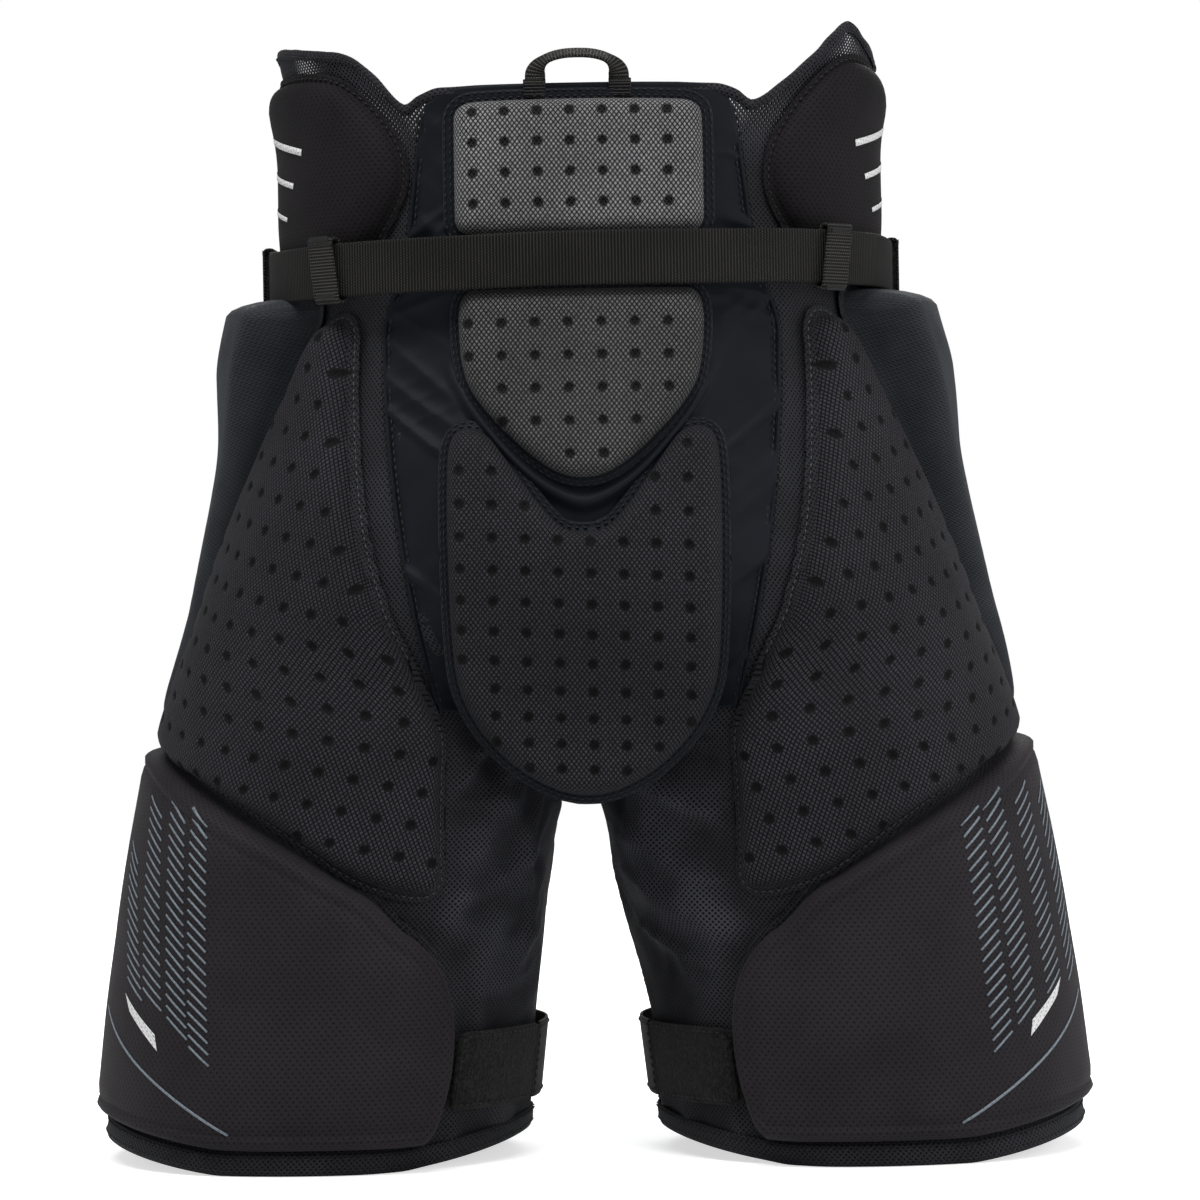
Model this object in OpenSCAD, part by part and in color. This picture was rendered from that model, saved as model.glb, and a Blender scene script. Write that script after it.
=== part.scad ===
// Padded hockey girdle: sewn mesh shorts that carry foam pads, a webbing belt and leg straps.
// Frame: +Z up, the wearer faces +Y, so -X is the wearer's left. The hems stand on z = 0.
// Places on the garment use q and z. q runs round the left half in degrees: 0 is the back seam
// (the inner leg below the crotch), 180 the outer side and 360 the front seam.

/* [Shell] */
// Half width of the bare shell at the belt
waist_half_w = 133; // [130:1:146]
// Half width of the bare shell at the crotch
hip_half_w = 188; // [184:1:192]
// Half depth of the back at the belt
waist_back = 97; // [94:1:100]
// Extra depth of the seat over the waist
seat_depth = 25; // [20:1:28]
// Half depth of the front at the belt
waist_front = 94; // [92:1:96]
// Height of the crotch above the hems
crotch_z = 192; // [190:1:194]
// Height of the middle of the belt
belt_z = 418; // [417:1:419]
// Height of the waist edge at the middle of the back
back_top_z = 500; // [499:1:502]
// Height of the waist edge at the sides
side_top_z = 526; // [520:1:530]
// Height of the waist edge at the front
front_top_z = 452; // [446:1:456]
// Half width of a leg at the hem
leg_half_w = 96; // [94:1:96]
// Distance from the middle to a leg's axis at the hem
hem_leg_x = 130; // [128:1:132]
// Thickness of the sewn fabrics
cloth_t = 1.2; // [1:0.1:1.4]

/* [Pads] */
// Height of the back pads over the shell
spine_pad_t = 12; // [9:0.5:12]
// Height of the tail pad
tail_pad_t = 14; // [11:0.5:15]
// Height of the rear thigh pads
rear_pad_t = 11; // [9:0.5:12]
// Height of the hip pads at their top edge
hip_pad_t = 26; // [22:1:26]
// Height of the kidney pads
kidney_pad_t = 10; // [8:0.5:11]
// Height of the thigh guards
guard_t = 17; // [14:1:18]

/* [Belt and closures] */
// Width of the belt webbing
belt_w = 25; // [24:0.5:25]
// Thickness of the belt webbing
belt_t = 1.6; // [1.2:0.1:1.8]
// Width of the webbing of the hanging loop
hanger_w = 9; // [8:0.5:10]
// Width of the leg straps
strap_w = 36; // [32:1:37]

/* [Motion] */
// Forward swing that the gap at the groin leaves for the legs
leg_swing = 40; // [30:1:40]
// How much the buckle prongs close for each millimetre of pull, in degrees
prong_per_mm = 0.3; // [0.28:0.01:0.32]

/* [Hidden] */
$fn = 32;

cloth_black = [0.07, 0.07, 0.08];
lycra_navy = [0.08, 0.10, 0.12];
mesh_grey = [0.20, 0.20, 0.20];
rib_teal = [0.08, 0.11, 0.12];
guard_black = [0.10, 0.09, 0.10];
foam_grey = [0.32, 0.32, 0.34];
plate_white = [0.85, 0.85, 0.83];
webbing_black = [0.12, 0.12, 0.11];
plastic_black = [0.06, 0.06, 0.06];

mid_y = 12.6;          // the shell's middle, which centres the whole on y = 0
torso_square = 0.12;   // how far the torso's section bulges past an ellipse
leg_square = 0.08;     // the same for a leg
hip_drop = 250;        // height over which the waist widens to the hips
waist_flare = 10;      // how far the sides lean out at the waist edge
seat_z = 285;          // height of the fullest part of the seat
seat_reach = 133;      // height over which the seat fades out
front_slope = 14;      // extra depth of the belly at the bottom of the fly
front_slope_z = 268;   // height where the belly stops deepening
crotch_rise = 70;      // height over which two legs become one torso
crotch_leg_x = 104;    // distance from the middle to a leg's axis at the crotch
crotch_leg_w = 92;     // half width of a leg at the crotch
leg_back_top = 97;     // half depth of a leg at the crotch
leg_back_hem = 90;     // half depth of a leg at the hem
pivot_z = crotch_z + 4;  // height of the axis on which the legs swing
front_cut = 20;        // slope of the torso's lower front edge, in degrees
leg_cut = leg_swing + 5 - front_cut;  // slope of the leg's upper front edge
pad_gap = 2;           // air between the shell and a pad
cover_t = 0.9;         // thickness of a pad's cover
hip_flare = 13;        // how far the hip pads' tops stand off
belt_back_off = 14.5;  // distance from the shell to the belt over the pads
belt_front_off = 5;    // and at the buckle

// ---------- the garment's surface ----------

function smooth(u) = let (c = max(0, min(1, u))) c * c * (3 - 2 * c);
function mix(a, b, k) = a + (b - a) * k;

function torso_w(z) = mix(waist_half_w, hip_half_w, smooth((belt_z + 9 - z) / hip_drop))
    + waist_flare * smooth((z - 470) / 55);
function back_d(z) = waist_back + seat_depth * smooth(1 - abs(z - seat_z) / seat_reach);
function front_d(z) =
    waist_front + front_slope * max(0, min(1, (belt_z - z) / (belt_z - front_slope_z)));
function leg_x(z) = crotch_leg_x + (hem_leg_x - crotch_leg_x) * (crotch_z - z) / crotch_z;
function leg_w(z) = mix(leg_half_w, crotch_leg_w, z / crotch_z);
function leg_d(z) = mix(leg_back_hem, leg_back_top, z / crotch_z);
function torso_share(z) = smooth((z - crotch_z) / crotch_rise);

// A point of the left half, o millimetres outside the shell.
function skin(q, z, o) =
    let (a = q / 2, k = torso_share(z), d = (q <= 180 ? back_d(z) : front_d(z)) + o,
         torso = [-(torso_w(z) + o) * sin(a), -d * cos(a) * (1 + torso_square * pow(sin(a), 2))],
         leg = [-leg_x(z) + (leg_w(z) + o) * cos(q),
                -(leg_d(z) + o) * sin(q) * (1 + leg_square * pow(cos(q), 2))])
    [mix(leg[0], torso[0], k), mid_y + mix(leg[1], torso[1], k), z];

// The q where the left half reaches x at height z. It starts from low, the seam's q, and high,
// that of the outer side.
function q_at(x, z, low, high, n = 14) =
    n == 0 ? (low + high) / 2 :
    let (mid = (low + high) / 2, past = skin(mid, z, 0)[0] < x)
    past ? q_at(x, z, low, mid, n - 1) : q_at(x, z, mid, high, n - 1);

// A point of the back seen straight on: the legs' cleft is bridged, as a stiff pad does.
function back_point(x, z, o, depth) =
    let (s = x / (torso_w(z) + o))
    [x, mid_y - (depth + o) * sqrt(1 - s * s) * (1 + torso_square * s * s), z];
function tail_depth(z) =
    z > seat_z ? back_d(z) : waist_back + seat_depth - 20 * smooth((seat_z - z) / 116);

place_skin = function(p, o) skin(p[0], p[1], o);
place_spine = function(p, o) back_point(p[0], p[1], o, back_d(p[1]));
place_tail = function(p, o) back_point(p[0], p[1], o, tail_depth(p[1]));
// The legs turn beneath the rear pads, so these stand further off.
place_rear = function(p, o) skin(p[0], p[1], o + 1.5);
// A hip pad is thick and stands off under the belt, and thins out to its lower tip.
place_hip = function(p, o)
    skin(p[0], p[1], pad_gap + (o - pad_gap) * mix(0.4, 1, smooth((p[1] - 205) / 175))
                     + hip_flare * smooth((p[1] - 320) / 80));

// ---------- solid builders ----------

// A closed solid between two equal grids of points. With wrap, the last row joins the first.
module sheet(outer, inner, wrap = false, flip = false) {
    n = len(outer);
    m = len(outer[0]);
    last = wrap ? n - 1 : n - 2;
    a = function(i, j) (i % n) * m + j;
    b = function(i, j) n * m + (i % n) * m + j;
    quad = function(p, q, r, s) [[p, q, r], [p, r, s]];
    faces = [
        for (i = [0:last], j = [0:m - 2]) each quad(a(i, j), a(i, j + 1), a(i + 1, j + 1), a(i + 1, j)),
        for (i = [0:last], j = [0:m - 2]) each quad(b(i, j), b(i + 1, j), b(i + 1, j + 1), b(i, j + 1)),
        for (i = [0:last]) each quad(a(i, 0), a(i + 1, 0), b(i + 1, 0), b(i, 0)),
        for (i = [0:last]) each quad(a(i, m - 1), b(i, m - 1), b(i + 1, m - 1), a(i + 1, m - 1)),
        if (!wrap) for (j = [0:m - 2]) each quad(a(0, j), b(0, j), b(0, j + 1), a(0, j + 1)),
        if (!wrap) for (j = [0:m - 2])
            each quad(a(n - 1, j), a(n - 1, j + 1), b(n - 1, j + 1), b(n - 1, j))
    ];
    polyhedron([for (r = outer) each r, for (r = inner) each r],
               flip ? [for (f = faces) [f[2], f[1], f[0]]] : faces);
}

// A closed solid over a rounded outline that runs clockwise seen from outside. top and bottom give
// its distance from the shell at a share of the way from the centre to the outline.
inner_rings = [0.28, 0.56, 0.84];
module pad(outline, centre, place, top, bottom, rings) {
    n = len(outline);
    k = len(rings);
    t = function(r, i) 1 + r * n + (i % n);
    base = 1 + k * n;
    b = function(r, i) base + 1 + r * n + (i % n);
    side = function(f) [place(centre, f(0)),
        for (r = rings, p = outline) place(mix(centre, p, r), f(r))];
    faces = [
        for (i = [0:n - 1]) each [[0, t(0, i), t(0, i + 1)], [base, b(0, i + 1), b(0, i)]],
        for (r = [0:k - 2], i = [0:n - 1]) each [
            [t(r, i), t(r + 1, i + 1), t(r, i + 1)], [t(r, i), t(r + 1, i), t(r + 1, i + 1)],
            [b(r, i), b(r, i + 1), b(r + 1, i + 1)], [b(r, i), b(r + 1, i + 1), b(r + 1, i)]],
        for (i = [0:n - 1]) each [
            [t(k - 1, i), b(k - 1, i + 1), t(k - 1, i + 1)],
            [t(k - 1, i), b(k - 1, i), b(k - 1, i + 1)]]
    ];
    polyhedron(concat(side(top), side(bottom)), faces);
}

// Corner cutting, which turns a few corners into a rounded outline.
function rounded(p, n = 2) = n == 0 ? p :
    rounded([for (i = [0:len(p) - 1]) let (a = p[i], b = p[(i + 1) % len(p)])
             each [mix(a, b, 0.25), mix(a, b, 0.75)]], n - 1);
function mirrored(p) = concat(p, [for (i = [len(p) - 1:-1:0]) if (p[i][0] != 0) [-p[i][0], p[i][1]]]);

// The domed profile of a pad of height t.
dome = function(t) function(r) pad_gap + t * (1 - 0.62 * pow(r, 6));
lowered = function(f, by) function(r) f(r) - by;

module cover(outline, centre, place, t) {
    pad(outline, centre, place, dome(t), lowered(dome(t), cover_t), concat(inner_rings, [1]));
}
module plate(outline, centre, place, t) {
    pad(outline, centre, place, lowered(dome(t), 2.4), lowered(dome(t), 4.2), inner_rings);
}
module foam(outline, centre, place, t, top_cut) {
    pad(outline, centre, place, lowered(dome(t), top_cut), function(r) pad_gap,
        concat(inner_rings, [0.92]));
}
module both_sides(left) {
    if (left) children();
    else mirror([1, 0, 0]) children();
}

// ---------- outlines: [x, z] in the middle of the back, [q, z] elsewhere ----------

upper_spine = mirrored([[57.5, 476], [57.5, 446], [57.5, 431], [44, 430], [0, 430]]);
upper_spine_all = concat([[38, 492], [57, 491]], upper_spine, [[-57, 491], [-38, 492]]);
lower_spine_all = mirrored([[0, 398], [44, 398], [59, 397], [56, 376], [48, 357], [20, 323], [0, 316]]);
tail_all = mirrored([[0, 290], [13, 294], [38, 330], [46, 341], [60, 341], [63, 322], [62, 240],
                     [60, 212], [36, 182], [0, 166]]);
rear_all = [[88, 392], [93, 366], [82, 322], [74, 285], [61, 245], [69, 209], [65, 150], [63, 125],
            [86, 133], [106, 156], [133, 179], [167, 193], [174, 204], [171, 240], [166, 290],
            [152, 333], [140, 368], [131, 386], [122, 396]];
hip_all = [[124, 399], [142, 374], [157, 340], [171, 292], [178, 242], [181, 206], [196, 206],
           [216, 232], [246, 262], [266, 310], [268, 372], [250, 400], [180, 400]];
kidney_all = [[74, 420], [96, 410], [236, 410], [258, 426], [256, 462], [226, 504], [180, 512],
              [108, 507], [78, 490], [70, 468], [70, 442]];

spine_centre = [0, 461];
lower_centre = [0, 366];
tail_centre = [0, 240];
rear_centre = [112, 250];
hip_centre = [208, 325];
kidney_centre = [165, 458];

// ---------- sewn panels ----------

// Half width of the stretch panel at the middle of the back, and q of its seam.
function seam_x(z) = 64 + 26 * sin(180 * max(0, min(1, (z - 190) / 380)));
function back_seam(z) = q_at(-seam_x(z), z, 0, 180);
front_seam_x = 32;
function front_seam(z) = q_at(-front_seam_x, z, 360, 180);

// Height of the waist edge: it dips beside the back panel and flares up over the kidney pads.
function top_edge(q) =
    q < 70 ? mix(back_top_z, back_top_z - 12, smooth((q - 30) / 40)) :
    q < 190 ? mix(back_top_z - 12, side_top_z, smooth((q - 70) / 45)) :
    mix(side_top_z, front_top_z, smooth((q - 190) / 100));
// How far in front of the shell's middle a place is, or 0 behind it.
function forward(q, z, o) = max(0, skin(q, z, o)[1] - mid_y);
// Lower edge of the torso's panels, cut back at the front where the thigh swings up.
function bottom_edge(q) = pivot_z + 4 + forward(q, pivot_z, 0) * tan(front_cut);

body_cols = 18;
panel_rows = 11;
function row_share(j) = pow(j / panel_rows, 1.4);  // closer rows near the crotch
panel_gap = 0.4;
function body_grid(o) = [for (i = [0:body_cols]) let (u = i / body_cols, q0 = mix(62, 338, u))
    [for (j = [0:panel_rows]) let (z = mix(bottom_edge(q0), top_edge(q0), row_share(j)))
        skin(mix(back_seam(z) + panel_gap, front_seam(z) - panel_gap, u), z, o)]];
module body_panel() {
    color(cloth_black) sheet(body_grid(0), body_grid(-cloth_t), flip = true);
}

function across(q, z, o, u) =
    let (p = skin(abs(u) * q, z, o)) u == 0 ? [0, p[1], z] : [u < 0 ? p[0] : -p[0], p[1], z];
back_cols = 12;
function back_grid(o) = [for (i = [0:back_cols]) let (u = 2 * i / back_cols - 1)
    [for (j = [0:panel_rows]) let (
            z = mix(mix(206, bottom_edge(62), abs(u)), top_edge(62 * abs(u)), row_share(j)))
        across(back_seam(z), z, o, u)]];
module back_panel() {
    color(lycra_navy) sheet(back_grid(0), back_grid(-cloth_t));
}

function front_grid(o) = [for (i = [0:6]) let (u = i / 3 - 1)
    [for (j = [0:panel_rows]) let (
            z = mix(mix(206, bottom_edge(338), abs(u)), front_top_z, row_share(j)),
            p = skin(360 - abs(u) * (360 - front_seam(z)), z, o))
        [u == 0 ? 0 : u < 0 ? p[0] : -p[0], p[1], z]]];
module front_panel() {
    color(lycra_navy) sheet(front_grid(0), front_grid(-cloth_t), flip = true);
}

// The gusset is an arched strip that joins the back and front panels under the crotch.
gusset_r = 26;
gusset_half_w = 18;
module crotch_gusset() {
    color(lycra_navy)
        translate([-gusset_half_w, mid_y, pivot_z + 2 + gusset_r])
        rotate([90, 0, 90])
        linear_extrude(2 * gusset_half_w)
        intersection() {
            difference() {
                circle(gusset_r);
                circle(gusset_r - cloth_t);
            }
            translate([-12, -gusset_r]) square([24, 9]);
        }
}

// ---------- legs ----------

function hem_z(q) = max(0, 14 * pow(cos(q), 2) - 2.5);
function leg_top(q) = crotch_z - 2 - forward(q, crotch_z - 2, 0) * tan(leg_cut);
leg_cols = 32;
leg_rows = 3;
function leg_grid(o) = [for (i = [0:leg_cols - 1]) let (q = 360 * i / leg_cols)
    [for (j = [0:leg_rows]) let (z = mix(hem_z(q) + 1.5, leg_top(q), j / leg_rows)) skin(q, z, o)]];
module leg_panel() {
    color(cloth_black) sheet(leg_grid(0), leg_grid(-cloth_t), wrap = true, flip = true);
}

hem_band_h = 9;
function hem_grid(o) = [for (i = [0:leg_cols - 1]) let (q = 360 * i / leg_cols)
    [for (h = [0, hem_band_h]) let (p = skin(q, hem_z(q) + h, o)) p]];
module hem_band() {
    color(cloth_black) sheet(hem_grid(cloth_t + 0.4), hem_grid(0.4), wrap = true, flip = true);
}

// Thigh guard: wraps from the inner back round the outer side to the inner front.
function guard_from(v) = mix(57, 64, v);
guard_to = 292;
guard_cols = 16;
guard_rows = [0, 0.05, 0.14, 0.5, 0.86, 0.95, 1];
guard_inset = 0.05;
function guard_top(q) =
    q < 180 ? mix(116, 203, pow(smooth((q - 62) / 150) * 1.06, 0.72)) :
    crotch_z - 8 - forward(q, crotch_z - 8, guard_t) * tan(leg_cut) + 10 * (1 - smooth((q - 180) / 30));
function guard_bottom(q) = hem_z(q) + 11;
function guard_side(u) = 1 - pow(abs(2 * u - 1), 10);
function guard_grid(inset, height) =
    [for (i = [0:guard_cols]) let (
            u = mix(inset, 1 - inset, i / guard_cols))
        [for (row = guard_rows) let (
                v = mix(inset, 1 - inset, row), q = mix(guard_from(v), guard_to, u),
                z = mix(guard_bottom(q), guard_top(q), v),
                rim = min(guard_side(u), 1 - pow(abs(2 * v - 1), 8)))
            skin(q, z, height(rim))]];
guard_dome = function(rim) pad_gap + 2.2 + (guard_t - 2.2) * pow(rim, 0.6);
module guard_cover() {
    color(guard_black)
        sheet(guard_grid(0, guard_dome), guard_grid(0, lowered(guard_dome, cover_t)), flip = true);
}
module guard_plate() {
    color(plate_white)
        sheet(guard_grid(guard_inset, lowered(guard_dome, 4.2)),
              guard_grid(guard_inset, lowered(guard_dome, 6.2)), flip = true);
}
module guard_foam() {
    color(foam_grey)
        sheet(guard_grid(guard_inset, lowered(guard_dome, 6.8)),
              guard_grid(guard_inset, function(rim) pad_gap), flip = true);
}

// ---------- leg straps ----------

strap_z = 45;          // height of the middle of a strap
strap_root = 17;       // q of the edge on which the tab peels open
strap_end = 53;        // q of the tab's free edge
function band(q0, q1, half_h, lo, hi, n) =
    [for (o = [hi, lo]) [for (i = [0:n]) let (q = mix(q0, q1, i / n))
        [for (h = [-half_h, half_h]) skin(q, strap_z + h, o)]]];
module strap_part(q0, q1, half_h, lo, hi, n = 6) {
    g = band(q0, q1, half_h, lo, hi, n);
    sheet(g[0], g[1], flip = true);
}
module strap_base() {
    color(webbing_black) strap_part(-42, strap_root - 0.6, strap_w / 2, 4, 5.4, 8);
}
module loop_patch() {
    color(plastic_black) strap_part(strap_root + 4, strap_end + 1, strap_w / 2 - 1, 1.2, 2.4);
}
module strap_hook() {
    color(plastic_black) strap_part(strap_root + 7, strap_end - 2, strap_w / 2 - 2, 2.9, 3.8);
}
module strap_tab() {
    color(webbing_black) strap_part(strap_root, strap_end, strap_w / 2, 4, 5.4);
}

// ---------- belt ----------

belt_end_q = 335;
function belt_off(q) = mix(belt_back_off, belt_front_off, smooth((q - 240) / 70));
function on_belt(q, o) = skin(q, belt_z, belt_off(q) + o);
function belt_grid(o) = [for (i = [0:64]) let (u = i / 32 - 1, p = on_belt(abs(u) * belt_end_q, o))
    [for (h = [-belt_w / 2, belt_w / 2]) [u == 0 ? 0 : u < 0 ? p[0] : -p[0], p[1], belt_z + h]]];
module belt_webbing() {
    color(webbing_black) sheet(belt_grid(belt_t), belt_grid(0));
}

// A belt loop is a webbing bridge over the belt, drawn as a profile of distance and height.
loop_w = 15;
loop_t = 1.3;
loop_in = 1.9;         // how far a loop reaches behind the belt
loop_half_h = belt_w / 2 + 3;
module belt_loop(q) {
    p = on_belt(q, 0);
    ahead = on_belt(q + 1, 0) - p;
    translate(p)
        rotate([0, 0, atan2(ahead[1], ahead[0])])
        translate([-loop_w / 2, 0, 0])
        rotate([90, 0, 90])
        linear_extrude(loop_w)
        difference() {
            translate([-loop_in, -loop_half_h]) square([loop_in + belt_t + 3, 2 * loop_half_h]);
            translate([loop_t - loop_in, loop_t - loop_half_h])
                square([loop_in + belt_t + 3 - 2 * loop_t, 2 * (loop_half_h - loop_t)]);
        }
}
loop_qs = [104, 186, 232];
module belt_loops() {
    color(webbing_black)
        for (q = loop_qs, left = [true, false]) both_sides(left) belt_loop(q);
}

// ---------- buckle ----------

socket_x = [-28, 6];   // the socket's ends along the belt
buckle_half_w = 16;
socket_half_t = 4.5;
mouth_half_w = 12.2;
mouth_half_t = 2.6;
mouth_ring = 5;        // closed band at the mouth
buckle_y = mid_y + waist_front + belt_front_off + 6;
prong_x = 6.5;         // the prongs' hinge line
prong_len = 18.5;
prong_root = 11;       // outer face of a prong at its root
prong_splay = 7;

module rounded_slab(x0, x1, half_w, half_t, r) {
    translate([0, half_t, 0]) rotate([90, 0, 0]) linear_extrude(2 * half_t) union() {
        translate([x0 + r, -half_w]) square([x1 - x0 - 2 * r, 2 * half_w]);
        translate([x0, r - half_w]) square([x1 - x0, 2 * (half_w - r)]);
        for (x = [x0 + r, x1 - r], w = [r - half_w, half_w - r]) translate([x, w]) circle(r);
    }
}
module block(x0, x1, half_y, z0, z1) {
    translate([x0, -half_y, z0]) cube([x1 - x0, 2 * half_y, z1 - z0]);
}
module in_buckle() {
    translate([0, buckle_y, belt_z]) children();
}
module buckle_socket() {
    color(plastic_black) in_buckle() difference() {
        rounded_slab(socket_x[0], socket_x[1], buckle_half_w, socket_half_t, 4);
        block(-14, socket_x[1] + 1, mouth_half_t, -mouth_half_w, mouth_half_w);
        for (s = [0, 1]) mirror([0, 0, s])
            block(-13.5, socket_x[1] - mouth_ring, mouth_half_t + 0.2, mouth_half_w - 1, buckle_half_w + 1);
        block(-24, -19.5, socket_half_t + 1, -13, 13);
    }
}
module buckle_tongue() {
    color(plastic_black) in_buckle() {
        difference() {
            rounded_slab(socket_x[1] + 0.6, 24, buckle_half_w, 3.5, 3);
            block(10.5, 14, 5, -13, 13);
            block(17, 20.5, 5, -13, 13);
            for (s = [0, 1]) mirror([0, 0, s]) block(6, 7.6, 5, 5.5, 12);
        }
        block(-12, 7, 2.1, -3, 3);
    }
}
module prong() {
    color(plastic_black) in_buckle()
        translate([prong_x, 0, prong_root - 2]) rotate([0, prong_splay, 0]) {
            block(-prong_len, 0, 2, -1.8, 2);
            translate([0, 2, 0]) rotate([90, 0, 0]) cylinder(h = 4, r = 0.9);
        }
}

// Webbing wrapped round a buckle's bar, drawn in plan: x along the belt, y outward.
module bar_wrap(x0, x1, y0, y1) {
    difference() {
        translate([x0 - belt_t, y0 - belt_t]) square([x1 - x0 + 2 * belt_t, y1 - y0 + 2 * belt_t]);
        translate([x0, y0]) square([x1 - x0, y1 - y0]);
    }
}
module belt_anchor_loop() {
    color(webbing_black) translate([0, buckle_y, belt_z - belt_w / 2]) linear_extrude(belt_w)
        bar_wrap(-28.5, -23.6, -4.9, 4.9);
}
tail_end_q = 306;
module belt_tail() {
    color(webbing_black) {
        translate([0, buckle_y, belt_z - belt_w / 2]) linear_extrude(belt_w)
            bar_wrap(13.7, 17.3, -3.8, 3.8);
        mirror([1, 0, 0]) sheet(tail_grid(2 * belt_t + 0.8), tail_grid(belt_t + 0.8));
    }
}
function tail_grid(o) = [for (i = [0:8]) let (p = on_belt(mix(340, tail_end_q, i / 8), o))
    [for (h = [-belt_w / 2, belt_w / 2]) [p[0], p[1], belt_z + h]]];

// ---------- hanging loop ----------

hanger_half_w = 26;
hanger_rise = 14;
hanger_t = 1.6;
hanger_pivot_z = back_top_z + 1;
hanger_y = mid_y - back_d(hanger_pivot_z) - 0.8 - hanger_t;
module grab_loop() {
    color(webbing_black) translate([0, hanger_y + hanger_t, hanger_pivot_z])
        rotate([90, 0, 0]) linear_extrude(hanger_t)
        intersection() {
            difference() {
                arch(hanger_half_w, hanger_rise);
                arch(hanger_half_w - hanger_w, hanger_rise - 5);
            }
            translate([-hanger_half_w, 0.2]) square([2 * hanger_half_w, hanger_rise]);
        }
}
module arch(half_w, rise) {
    r = rise;
    translate([r - half_w, 0]) circle(r);
    translate([half_w - r, 0]) circle(r);
    translate([r - half_w, -r]) square([2 * (half_w - r), 2 * r]);
}
module grab_loop_ends() {
    color(webbing_black) for (s = [-1, 1])
        translate([s * (hanger_half_w - hanger_w / 2) - hanger_w / 2, hanger_y, back_top_z - 7])
        cube([hanger_w, hanger_t, 6.9]);
}

// ---------- fly ----------

fly_low = 280;
fly_high = 398;
fly_half_w = 24;
fly_tilt = atan(front_slope / (belt_z - front_slope_z));
module on_fly(o) {
    translate([0, mid_y + front_d(fly_low) + o, fly_low]) rotate([fly_tilt, 0, 0]) children();
}
module fly_flap() {
    color(lycra_navy) on_fly(3.4) translate([-fly_half_w, 0, 0])
        cube([2 * fly_half_w, 1.8, fly_high - fly_low]);
}
module fly_hook_strip() {
    color(plastic_black) on_fly(2.1) translate([4, 0, 6]) cube([17, 1.1, fly_high - fly_low - 12]);
}
module fly_loop_strip() {
    color(plastic_black) on_fly(0.7) translate([4, 0, 6]) cube([17, 1.1, fly_high - fly_low - 12]);
}

// ---------- the parts ----------

back_panel();
body_panel();  // left_body_panel
mirror([1, 0, 0]) body_panel();  // right_body_panel
front_panel();
crotch_gusset();

upper_spine_line = rounded(upper_spine_all, 1);
lower_spine_line = rounded(lower_spine_all, 1);
tail_line = rounded(tail_all);
rear_line = rounded(rear_all, 1);
hip_line = rounded(hip_all);
kidney_line = rounded(kidney_all);

color(mesh_grey) cover(upper_spine_line, spine_centre, place_spine, spine_pad_t);  // upper_spine_cover
color(foam_grey) foam(upper_spine_line, spine_centre, place_spine, spine_pad_t, 2);  // upper_spine_foam
color(mesh_grey) cover(lower_spine_line, lower_centre, place_spine, spine_pad_t);  // lower_spine_cover
color(foam_grey) foam(lower_spine_line, lower_centre, place_spine, spine_pad_t, 2);  // lower_spine_foam
color(mesh_grey) cover(tail_line, tail_centre, place_tail, tail_pad_t);  // tail_cover
color(plate_white) plate(tail_line, tail_centre, place_tail, tail_pad_t);  // tail_plate
color(foam_grey) foam(tail_line, tail_centre, place_tail, tail_pad_t, 5);  // tail_foam

for (side = ["left", "right"]) both_sides(side == "left") {
    color(mesh_grey) cover(rear_line, rear_centre, place_rear, rear_pad_t);
    color(foam_grey) foam(rear_line, rear_centre, place_rear, rear_pad_t, 4.4);
    color(rib_teal) cover(hip_line, hip_centre, place_hip, hip_pad_t);
    color(plate_white) plate(hip_line, hip_centre, place_hip, hip_pad_t);
    color(foam_grey) foam(hip_line, hip_centre, place_hip, hip_pad_t, 5);
    color(guard_black) cover(kidney_line, kidney_centre, place_skin, kidney_pad_t);
    color(foam_grey) foam(kidney_line, kidney_centre, place_skin, kidney_pad_t, 2);
    leg_panel();
    hem_band();
    guard_cover();
    guard_plate();
    guard_foam();
    strap_base();
    loop_patch();
    strap_hook();
    strap_tab();
}

belt_webbing();
belt_loops();
belt_anchor_loop();
belt_tail();
buckle_socket();
buckle_tongue();
prong();  // upper_prong
translate([0, 0, 2 * belt_z]) mirror([0, 0, 1]) prong();  // lower_prong
grab_loop();
grab_loop_ends();
fly_flap();
fly_hook_strip();
fly_loop_strip();
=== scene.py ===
"""Looks of the padded hockey girdle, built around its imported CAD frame.

Lengths here are millimetres until mesh_piece() turns them into metres. A place on the left half
of the garment is (q, z): q runs round the left half in degrees, 0 at the back seam (the inner leg
below the crotch), 180 at the outer side and 360 at the front seam. The right half is its mirror.
"""

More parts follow.
